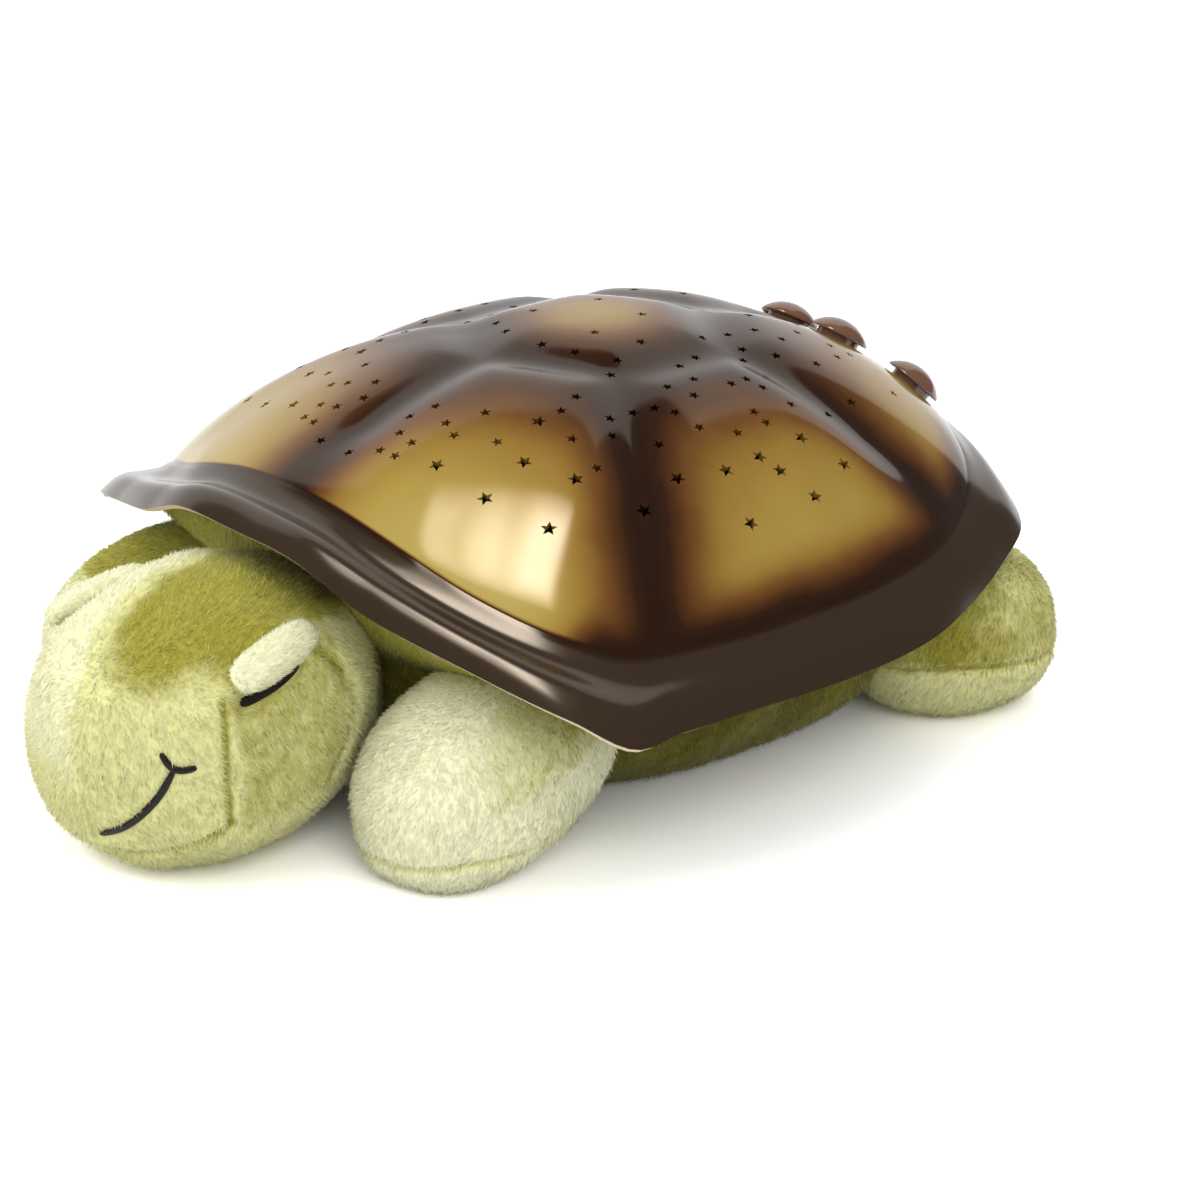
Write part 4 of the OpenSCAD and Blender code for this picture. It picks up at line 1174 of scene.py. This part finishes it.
def shoulder_form():
    """The stuffed roll round the top of the cushion: for each bearing a section from the cushion's
    side up to the underside of the brim and back under the shell, with its corners cut."""
    bearing = 360 * np.arange(BODY_COLUMNS) / BODY_COLUMNS + 90
    plan = polar(1.0, bearing)
    torso = (np.abs(plan / TORSO_HALF) ** TORSO_POWER).sum(-1) ** (-1 / TORSO_POWER)
    touch, foot = skin(bearing, np.full(len(bearing), 1.30)), outline(bearing, FOOT_R)
    top_r, top_z = np.linalg.norm(touch[:, :2], axis=-1), touch[:, 2] - SHELL_WALL - 1.6
    corners = [
        (0.975 * torso, 50 + 0 * torso), (0.5 * (top_r + torso) + 3, 0.5 * (top_z - 9) + 25),
        (top_r, top_z - 10), (top_r - 1, top_z), (0.96 * foot, 0.5 * (top_z + 72)),
        (np.maximum(0.99 * torso, 104), 73 + 0 * torso),
    ]  # fmt: skip
    section = rounded(np.stack([np.stack(c, -1) for c in corners]), 4)
    points = np.concatenate([section[..., :1] * plan, section[..., 1:]], -1)
    points = points + raised(plan, 0) * (0.9 * ripple(points, 30, 62))[..., None]
    return Cloth(points, points, tube=True)


def body_painted_shade(own):
    """Painted deep shade, as under the shell, but less of it at the front of the shoulders beside the head.
    """
    shown = smooth((own[..., 2] - 56) / 12) * smooth((-55 - own[..., 1]) / 20)
    return 1.85 - 0.95 * shown + 0.1 * ripple(own, 30, 63)


def body_comb(own):
    """Outward and down."""
    return raised(0.4 * unit(own[..., :2]), -1)


def outside(root, own, normal):
    """The body's outer side, clear of the brim."""
    radius = np.linalg.norm(root[:, :2], axis=1)
    outward = (normal[:, :2] * root[:, :2]).sum(-1) > 0.25 * radius
    return off_floor(root, own, normal) & outward & (radius > 70)


def make_body():
    torso, shoulder = torso_form(), shoulder_form()
    torso.stuffed("body_cushion_cloth", "torso", body_painted_shade, 0.7)
    make_pile("body_cushion_pile", torso, 60000, body_comb, outside, body_painted_shade, seed=64)
    shoulder.stuffed("shoulder_roll_cloth", "shoulder", body_painted_shade, 0.6)
    make_pile("shoulder_roll_pile", shoulder, 36000, body_comb, outside, body_painted_shade, seed=65)


# ---------------------------------------------------------------- belly flap
FLAP_HALF, FLAP_AT, FLAP_LOW, FLAP_TOP = (38, 34.75), (0, 44.25), 0.4, 2.6


def slab(half, centre, low, top):
    """A flat sheet with rounded corners and a rounded edge, as loops from the middle of its
    underside round its edge to the middle of its upper side."""
    middle, thick = 0.5 * (low + top), top - low
    turn = np.radians(np.linspace(-90, 90, 9))
    edge = np.stack([0.5 * thick * (np.cos(turn) - 1), middle + 0.5 * thick * np.sin(turn)], -1)
    shares = np.linspace(0, 0.97, 16)
    outer = loop(half, BOX_POWER, centre)
    rows = [(centre + s * (outer - centre), low) for s in shares]
    rows += [(loop(np.array(half) + inset, BOX_POWER, centre), z) for inset, z in edge]
    rows += [(centre + s * (outer - centre), top) for s in shares[::-1]]
    points = np.stack([raised(plan, z) for plan, z in rows])
    return Cloth(points, points)


def make_belly_flap():
    """The flap over the battery door, and the cloth hinge that joins it to the belly."""
    flap = slab(FLAP_HALF, FLAP_AT, FLAP_LOW + 0.05, FLAP_TOP - 0.05)
    piece = flap.mesh("belly_flap_cloth", body="belly_flap")
    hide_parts("belly_flap")
    hinge = slab((36, 5), (0, 10), 2.4, 3.1).mesh("belly_flap_hinge", body=None)
    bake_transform(hinge)


# ---------------------------------------------------------------- buttons, collars and bosses
CAP_LIFT, CAP_H, CAP_R, CAP_EDGE = 1.6, 6.4, 11.5, 0.8
SKIRT_R, SKIRT_FOOT, STEM_FOOT, BOARD_TOP = 8.3, -6.6, -8.2, -13.8
HOOK_IN, HOOK_OUT, HOOK_HALF, HOOK_TOP = 8.1, 9.3, 2.9, -5.35
COLLAR_R, CAN_R, EAR_AT = 10.98, 9.8, 12.58
FLANGE_TOP, BOSS_R, BOSS_HOLE_R, BOSS_HOLE_TOP = 74.4, 4.0, 1.3, 88.0
# Edges of the moulded pieces that are sharper than this many degrees stay sharp
CREASE = 35


def button_profile():
    """Radius and height from the stem's foot over the skirt to the dome, whose edge is rounded."""
    rise = CAP_H - CAP_EDGE
    ball = (CAP_R**2 + rise**2) / (2 * rise)
    steep = math.asin(CAP_R / ball)
    turn = steep * np.linspace(1, 0, 22)[1:]
    dome = np.stack([ball * np.sin(turn), CAP_LIFT + CAP_H - ball + ball * np.cos(turn)], -1)
    hollow, corner = SKIRT_R - 1.4, CAP_LIFT + CAP_EDGE
    under = [
        [0, STEM_FOOT], [1.6, STEM_FOOT], [1.8, STEM_FOOT + 0.2], [1.8, CAP_LIFT], [hollow, CAP_LIFT],
        [hollow, SKIRT_FOOT], [SKIRT_R - 0.2, SKIRT_FOOT], [SKIRT_R, SKIRT_FOOT + 0.2], [SKIRT_R, CAP_LIFT],
        [CAP_R - 0.25, CAP_LIFT], [CAP_R - 0.06, CAP_LIFT + 0.08], [CAP_R, CAP_LIFT + 0.3],
        [CAP_R - 0.02, corner - 0.2], [CAP_R - 0.15, corner + 0.05],
    ]  # fmt: skip
    return np.concatenate([under, dome])


def box(low, high):
    """Corners and faces of a box."""
    corner = np.array([[x, y, z] for x in (0, 1) for y in (0, 1) for z in (0, 1)], float)
    faces = np.array([[0, 1, 3, 2], [4, 6, 7, 5], [0, 4, 5, 1], [2, 3, 7, 6], [0, 2, 6, 4], [1, 5, 7, 3]])
    return np.array(low) + corner * (np.array(high) - low), [faces]


def seated(points):
    """Points in the frame of a button's seat on the shell, for each button in the turtle's frame."""
    seats = zip(BUTTONS, height_of(BUTTONS), on_shell(BUTTONS))
    return [points @ frame + [*plan, z] for plan, z, frame in seats]


def make_buttons():
    """Each button: a glossy dome on a skirt with two hooks, and a stem over its switch."""
    hooks = [box([low, -HOOK_HALF, SKIRT_FOOT + 0.05], [high, HOOK_HALF, HOOK_TOP])
             for low, high in ((-HOOK_OUT, -HOOK_IN), (HOOK_IN, HOOK_OUT))]  # fmt: skip
    points, faces = joined([turned_part(button_profile(), columns=96), *hooks])
    for name, placed in zip(BUTTON_NAMES, seated(points)):
        made = mesh_piece(f"{name}_cap", placed, faces, BUTTON_PLASTIC, body=name, slot="button_plastic",
                          crease=CREASE)  # fmt: skip
        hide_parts(name)


def make_collars_and_bosses():
    """What stands inside the shell: a guide collar with two screw ears under each button, and the
    six screw bosses, whose tops follow the shell's slope."""
    collar = [[BORE_R, -1.2], [BORE_R, -5], [CAN_R, -5], [CAN_R, BOARD_TOP], [COLLAR_R, BOARD_TOP],
              [COLLAR_R, -1.2]]  # fmt: skip
    ear = [[0.8, -6], [0.8, BOARD_TOP], [2.4, BOARD_TOP], [2.4, -6]]
    guide = [turned_part(collar, closed=True, columns=96)]
    guide += [turned_part(ear, closed=True, columns=24, centre=(0, side * EAR_AT, 0)) for side in (-1, 1)]
    points, faces = joined(guide)
    parts = [(placed, faces) for placed in seated(points)]
    boss = [[0, BOSS_HOLE_TOP], [BOSS_HOLE_R, BOSS_HOLE_TOP], [BOSS_HOLE_R, FLANGE_TOP],
            [BOSS_R, FLANGE_TOP], [BOSS_R, DOME_H], [0, DOME_H]]  # fmt: skip
    for plan in polar(SCREW_R, SCREW_BEARINGS):
        points, faces = turned_part(boss, columns=32, centre=(*plan, 0))
        points[:, 2] = np.minimum(points[:, 2], height_of(points[:, :2]) - 0.6 * SHELL_WALL)
        parts.append((points, faces))
    mesh_piece("shell_collars_and_bosses", *joined(parts), SHELL_INSIDE, slot="shell_plastic", crease=CREASE)


# ---------------------------------------------------------------- finishes of the inside
def moulded(name, colour, roughness=0.4, grain=900, depth=0.00004, **sockets):
    """Moulded plastic: a fine grain in its surface and a slight drift in its colour."""
    f = Finish(name, Roughness=roughness, **sockets)
    f.set(Base_Color=f.speckle(f.noise(45, 3), colour, 0.82))
    return f.bump(f.noise(grain, 2), depth, 0.6)


def metal(name, colour, roughness):
    """Drawn metal with faint lengthwise scratches."""
    f = Finish(name, Metallic=1.0)
    scratch = f.noise(1200, 3, 0.6, stretch=(1, 1, 0.08))
    f.set(Base_Color=f.speckle(scratch, colour, 0.8), Roughness=roughness + scratch * 0.15)
    return f.bump(scratch, 0.00002, 0.5)


def laminate():
    """Green board with paler tracks along and across it, and tinned dots."""
    f = Finish("board_laminate", Roughness=0.35)
    x, y, _ = f.axes(f.place())
    bent = f.noise(160, 1)
    track = ((x + bent * 0.004) * 900).maths("SINE").step(0.55, 0.75) * f.noise(90, 0).step(0.48, 0.52)
    cross = ((y + bent * 0.004) * 900).maths("SINE").step(0.55, 0.75) * f.noise(70, 0).step(0.55, 0.58)
    dots = f.node("ShaderNodeTexVoronoi", {}, {"Vector": f.place(), "Scale": 260.0})
    green = f.mix(track.maths("MAXIMUM", cross), srgb(18, 74, 42), srgb(44, 122, 68))
    return f.set(Base_Color=f.mix(1 - dots.step(0.14, 0.2), green, srgb(196, 198, 196)))


def lens(name, colour):
    """Tinted clear resin whose colour is a little uneven."""
    f = Finish(name, Roughness=0.08, IOR=1.5, Transmission_Weight=0.5)
    return f.set(Base_Color=f.speckle(f.noise(400, 2), colour, 0.75))


def cell_wrap():
    """Dark sleeve with a copper-coloured band at one end."""
    f = Finish("cell_wrap", Roughness=0.3)
    band = f.axes(f.place())[0].step(0.0095, 0.0098)
    f.set(Base_Color=f.mix(band, srgb(34, 36, 42), srgb(184, 112, 62)))
    return f.bump(f.noise(600, 2), 0.00002, 0.4)


def sleeve(name, colour):
    """Soft wire insulation, a little dusty."""
    f = Finish(name, Roughness=0.5)
    f.set(Base_Color=f.speckle(f.noise(300, 3), colour, 0.7))
    return f.bump(f.noise(900, 2), 0.00003, 0.4)


def fastener():
    """Hook-and-loop tape: a close field of tiny hooks."""
    f = Finish("hook_and_loop", Roughness=0.8)
    cells = f.node("ShaderNodeTexVoronoi", {}, {"Vector": f.place(), "Scale": 1400.0})
    f.set(Base_Color=f.mix(cells, srgb(46, 46, 46), srgb(18, 18, 18)))
    return f.bump(1 - cells, 0.0004, 0.8)


def dress_inside():
    base, steel = moulded("base_plastic", srgb(62, 48, 36)), metal("screw_steel", (0.62, 0.62, 0.64), 0.28)
    contact, board = metal("contact_steel", (0.72, 0.70, 0.64), 0.22), laminate()
    switch, wrap, tape = moulded("switch_plastic", srgb(30, 30, 32)), cell_wrap(), fastener()
    finishes = {
        "lamp_base": base, "fabric_ring": base, "battery_door": base,
        "shell_screws": steel, "switch_screws": steel, "led_screws": steel, "battery_door_screw": steel,
        "switch_boards": board, "led_board": board, "push_switches": switch, "control_chip": switch,
        "amber_led": lens("amber_lens", srgb(250, 176, 60)),
        "green_led": lens("green_lens", srgb(96, 214, 110)),
        "blue_led": lens("blue_lens", srgb(84, 150, 246)),
        "battery_cell_1": wrap, "battery_cell_2": wrap, "battery_cell_3": wrap,
        "contact_plates": contact, "contact_springs": contact,
        "battery_leads": sleeve("lead_red", srgb(190, 30, 32)),
        "switch_leads": sleeve("lead_blue", srgb(48, 92, 170)),
        "loop_strip": tape, "hook_strip": tape,
    }  # fmt: skip
    for node, finish in finishes.items():
        dress(node, finish)


SPRAYED_SHELL = sprayed_shell()
SHELL_INSIDE = bare_shell("shell_inside", srgb(46, 33, 22))
CUT_EDGE = bare_shell("shell_cut_edge", srgb(226, 204, 172))
BUTTON_PLASTIC = moulded("button_plastic", srgb(110, 77, 58), 0.16, 60, 0.0001, Coat_Weight=0.5,
                         Coat_Roughness=0.05)  # fmt: skip
make_shell()
make_buttons()
make_collars_and_bosses()
dress_inside()
make_head()
make_limbs()
make_body()
make_belly_flap()


# ---------------------------------------------------------------- floor and light
FLOOR_HALF = 6000
PAPER, PAPER_SEEN = 0.82, 1.45
WALL_LEVEL, CEILING_LEVEL = 0.42, 0.92
GLOSS_LEVEL = 0.12
BACKDROP_SEEN = 0.9
# The backdrop's right and left ends as bearings, and how high its upper edge starts to fade and ends
BACKDROP_RIGHT, BACKDROP_LEFT, BACKDROP_TOP = 103, 200, (54, 57)


def make_floor():
    """White paper. The camera sees it brighter than the turtle does, so that it meets the white
    behind it and still takes the shadow."""
    h = FLOOR_HALF
    paper = Finish("floor_paper", Roughness=0.9, Specular_IOR_Level=0.0)
    level = PAPER + seen_rays(paper, 0.3) * (PAPER_SEEN - PAPER)
    paper.set(Base_Color=paper.node("ShaderNodeCombineColor", {}, [level, level, level]))
    corners = [[-h, -h, 0], [h, -h, 0], [h, h, 0], [-h, h, 0]]
    mesh_piece("floor", corners, [np.array([[0, 1, 2, 3]])], paper, body=None, slot=None)


def seen_rays(nodes, share=1.0):
    """1 for a ray from the camera, and share for one that a glossy or clear surface sends on."""
    camera, glossy, clear = (nodes.node("ShaderNodeLightPath", out=f"Is {kind} Ray") for kind in
                             ("Camera", "Glossy", "Transmission"))  # fmt: skip
    return (camera + (glossy + clear) * share).maths("MINIMUM", 1.0)


def make_world():
    """White for the camera. Glossy and clear surfaces see a white backdrop behind the turtle, from
    the floor up to about 55 degrees, and dim walls. Everything else is lit by pale walls that are
    brighter overhead."""
    world = bpy.data.worlds.new("studio")
    bpy.context.scene.world = world
    world.use_nodes = True
    n = Nodes(world.node_tree)
    x, y, z = n.axes(n.node("ShaderNodeTexCoord", out="Generated"))

    def beyond(degrees, blur):
        """1 on the side of an upright plane through the turtle to which its normal points."""
        turn = math.radians(degrees)
        return (x * math.cos(turn) + y * math.sin(turn)).step(0, blur)

    low, high = (math.sin(math.radians(rise)) for rise in BACKDROP_TOP)
    backdrop = beyond(BACKDROP_RIGHT + 90, 0.03) * beyond(BACKDROP_LEFT - 90, 0.1) * (1 - z.step(low, high))
    glossy = n.node("ShaderNodeLightPath", out="Is Glossy Ray")
    pale = WALL_LEVEL + z.step(-0.05, 0.7) * (CEILING_LEVEL - WALL_LEVEL)
    walls = pale - glossy * (pale - GLOSS_LEVEL)
    seen = seen_rays(n, backdrop * BACKDROP_SEEN)
    background = world.node_tree.nodes["Background"].inputs
    n.put(background["Strength"], walls + seen * (1 - walls))
    n.put(background["Color"], (1.0, 1.0, 1.0))


def window(name, middle, size, turn, radiance, panes=5):
    """A bright window overhead that shows only in glossy surfaces, turned about the vertical: panes
    one inside the other, so that it fades towards its edges."""
    for k in range(panes):
        share = 1.08 - 0.6 * k / panes
        lamp = area_light(f"{name}_{k}", middle, (share * size[0], share * size[1]), radiance / panes)
        lamp.location.z += 0.004 * k
        lamp.rotation_mode = "XYZ"
        lamp.rotation_euler = (0, 0, math.radians(turn))
        lamp.visible_diffuse = False


def soft_key(name, place, size, radiance):
    """A wide soft lamp that lights the turtle evenly and doesn't show in glossy surfaces."""
    area_light(name, place, (size, size), radiance).visible_glossy = False


make_floor()
make_world()
window("window_inner", (0.05, -0.38, 1.6), (0.86, 0.28), -61, 18)
window("window_outer", (-0.16, -0.52, 1.6), (0.86, 0.22), -61, 7)
soft_key("key_left", (-1.1, -1.5, 1.3), 1.4, 3.0)
soft_key("key_right", (1.6, -0.8, 1.3), 1.3, 2.9)
soft_key("key_top", (-0.3, 0.3, 2.2), 2.0, 0.8)
